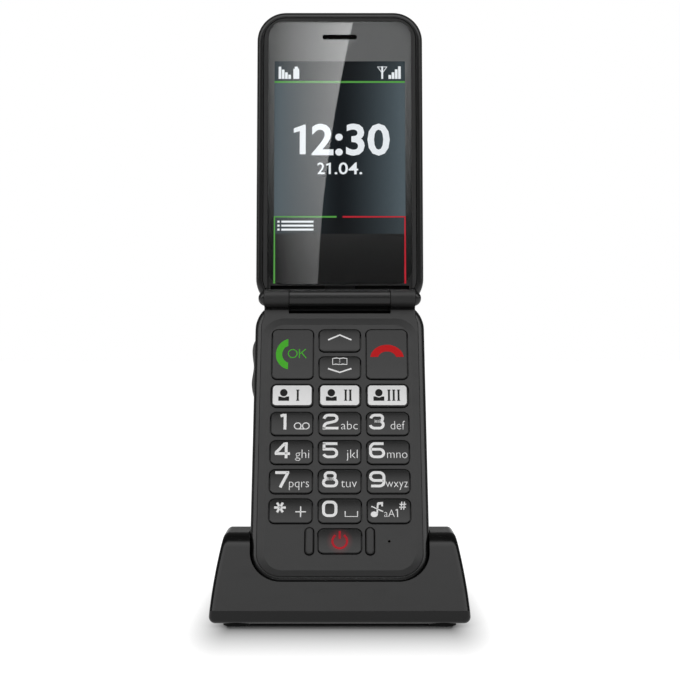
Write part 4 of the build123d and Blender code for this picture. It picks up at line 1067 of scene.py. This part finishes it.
def makeFloor():
    mesh = bpy.data.meshes.new("studioFloor")
    reach = 6.0
    corners = [(-reach, -reach, 0), (reach, -reach, 0), (reach, reach, 0), (-reach, reach, 0)]
    mesh.from_pydata(corners, [], [(0, 1, 2, 3)])
    floor = bpy.data.objects.new("studioFloor", mesh)
    scene.collection.objects.link(floor)
    material, tree, shader = newMaterial("floorPaper")
    tone = studio["floorTone"]
    shader.inputs["Base Color"].default_value = (tone, tone, tone, 1)
    shader.inputs["Roughness"].default_value = 0.9
    shader.inputs["Specular IOR Level"].default_value = 0.0
    coords = addNode(tree, "ShaderNodeTexCoord").outputs["Object"]
    parts = addNode(tree, "ShaderNodeSeparateXYZ", Vector=coords)
    halfX, halfY = studio["floorHalf"]
    beyondX = math2(tree, "SUBTRACT", math2(tree, "ABSOLUTE", parts.outputs["X"]), halfX)
    beyondY = math2(tree, "SUBTRACT", math2(tree, "ABSOLUTE", parts.outputs["Y"]), halfY)
    rightX = math2(tree, "MAXIMUM", beyondX, 0.0)
    steepX = math2(tree, "MULTIPLY", rightX, studio["floorSteep"])
    squareX = math2(tree, "POWER", steepX, 2.0)
    squareY = math2(tree, "POWER", math2(tree, "MAXIMUM", beyondY, 0.0), 2.0)
    away = math2(tree, "SQRT", math2(tree, "ADD", squareX, squareY))
    # painted shadow: the floor's glow fades out round the cradle's foot by position; the shade
    # there is mostly this, and partly the real shadow on the dark floor tone
    fade = addNode(tree, "ShaderNodeMapRange", Value=away)
    start, end = studio["floorFade"]
    fade.inputs["From Min"].default_value = start
    fade.inputs["From Max"].default_value = end
    fade.inputs["To Min"].default_value, fade.inputs["To Max"].default_value = studio["floorLift"]
    shown = seenRay(tree, "Is Camera Ray", "Is Transmission Ray")
    mirrored = math2(tree, "MULTIPLY", seenRay(tree, "Is Glossy Ray"), studio["floorMirrored"])
    bent = math2(tree, "POWER", fade.outputs["Result"], studio["floorBend"])
    lift = math2(tree, "ADD", math2(tree, "MULTIPLY", shown, bent), mirrored)
    shader.inputs["Emission Color"].default_value = (1, 1, 1, 1)
    tree.links.new(lift, shader.inputs["Emission Strength"])
    mesh.materials.append(material)


makeFloor()


def makeWorld():
    world = bpy.data.worlds.new("studio")
    scene.world = world
    world.use_nodes = True
    tree = world.node_tree
    tree.nodes.clear()
    output = tree.nodes.new("ShaderNodeOutputWorld")
    ambient = addNode(tree, "ShaderNodeBackground", Color=(1, 1, 1, 1), Strength=studio["ambient"])
    shown = addNode(tree, "ShaderNodeBackground", Color=(1, 1, 1, 1), Strength=1.0)
    mirrored = addNode(tree, "ShaderNodeBackground", Strength=studio["mirrorGain"])

    direction = addNode(tree, "ShaderNodeTexCoord").outputs["Generated"]
    parts = addNode(tree, "ShaderNodeSeparateXYZ", Vector=direction)
    ahead = math2(tree, "MULTIPLY", parts.outputs["Y"], -1.0)
    angle = math2(tree, "ARCTAN2", parts.outputs["Z"], ahead)
    degrees = math2(tree, "DEGREES", angle)
    room = tree.nodes.new("ShaderNodeValToRGB")
    ramp = room.color_ramp
    stops = studio["mirror"]
    while len(ramp.elements) < len(stops):
        ramp.elements.new(0.5)
    for element, (place, level) in zip(ramp.elements, stops):
        element.position = place / 180
        element.color = (*[level / studio["mirrorGain"]] * 3, 1)
    tree.links.new(math2(tree, "DIVIDE", degrees, 180.0), room.inputs["Fac"])

    # left of a slightly bowed upright line the room is brighter
    start, slope, bow = studio["panelEdge"]
    rise = math2(tree, "SUBTRACT", degrees, studio["panelFrom"])
    edge = math2(
        tree, "MULTIPLY_ADD", rise, math2(tree, "MULTIPLY_ADD", rise, bow, slope), start
    )
    aside = math2(tree, "DIVIDE", parts.outputs["X"], math2(tree, "MAXIMUM", ahead, 0.05))
    inside = addNode(tree, "ShaderNodeMapRange", Value=math2(tree, "SUBTRACT", edge, aside))
    inside.inputs["From Min"].default_value = -studio["panelBlur"]
    inside.inputs["From Max"].default_value = studio["panelBlur"]
    height = addNode(tree, "ShaderNodeMapRange", Value=degrees)
    (lowAngle, lowLevel), (highAngle, highLevel) = studio["panel"]
    height.inputs["From Min"].default_value = lowAngle
    height.inputs["From Max"].default_value = highAngle
    height.inputs["To Min"].default_value = lowLevel / studio["mirrorGain"]
    height.inputs["To Max"].default_value = highLevel / studio["mirrorGain"]
    across = addNode(tree, "ShaderNodeMapRange", Value=aside)
    across.inputs["From Min"].default_value = studio["panelStart"]
    tree.links.new(edge, across.inputs["From Max"])
    end = addNode(tree, "ShaderNodeMapRange", Value=degrees)
    end.inputs["From Min"].default_value, end.inputs["From Max"].default_value = studio["panelEnd"]
    panel = math2(tree, "MULTIPLY", inside.outputs["Result"], height.outputs["Result"])
    panel = math2(tree, "MULTIPLY", panel, across.outputs["Result"])
    panel = math2(tree, "MULTIPLY", panel, end.outputs["Result"])
    total = addNode(tree, "ShaderNodeVectorMath", {"operation": "ADD"})
    tree.links.new(room.outputs["Color"], total.inputs[0])
    tree.links.new(panel, total.inputs[1])
    tree.links.new(total.outputs[0], mirrored.inputs["Color"])

    first = tree.nodes.new("ShaderNodeMixShader")
    tree.links.new(seenRay(tree, "Is Glossy Ray", "Is Transmission Ray"), first.inputs["Fac"])
    tree.links.new(ambient.outputs[0], first.inputs[1])
    tree.links.new(mirrored.outputs[0], first.inputs[2])
    # light that leaves a lens at the front comes from a reflection inside it
    through = math2(tree, "GREATER_THAN", parts.outputs["Y"], studio["insideLens"])
    through = math2(tree, "MULTIPLY", through, seenRay(tree, "Is Transmission Ray"))
    second = tree.nodes.new("ShaderNodeMixShader")
    seen = math2(tree, "MAXIMUM", seenRay(tree, "Is Camera Ray"), through)
    tree.links.new(seen, second.inputs["Fac"])
    tree.links.new(first.outputs[0], second.inputs[1])
    tree.links.new(shown.outputs[0], second.inputs[2])
    tree.links.new(second.outputs[0], output.inputs["Surface"])


makeWorld()


def areaLamp(name, place, target, side, power):
    data = bpy.data.lights.new(name, "AREA")
    data.shape = "RECTANGLE"
    data.size = data.size_y = side
    data.energy = power
    lamp = bpy.data.objects.new(name, data)
    lamp.location = place
    direction = Vector(target) - Vector(place)
    lamp.rotation_euler = direction.to_track_quat("-Z", "Y").to_euler()
    lamp.visible_glossy = False
    scene.collection.objects.link(lamp)


middle = (cadBox[0] + cadBox[1]) / 2
for name, (place, side, power) in studio["lamps"].items():
    areaLamp(name, place, middle, side, power)
print("stage: camera, floor and lamps")

scene.view_settings.view_transform = "Standard"
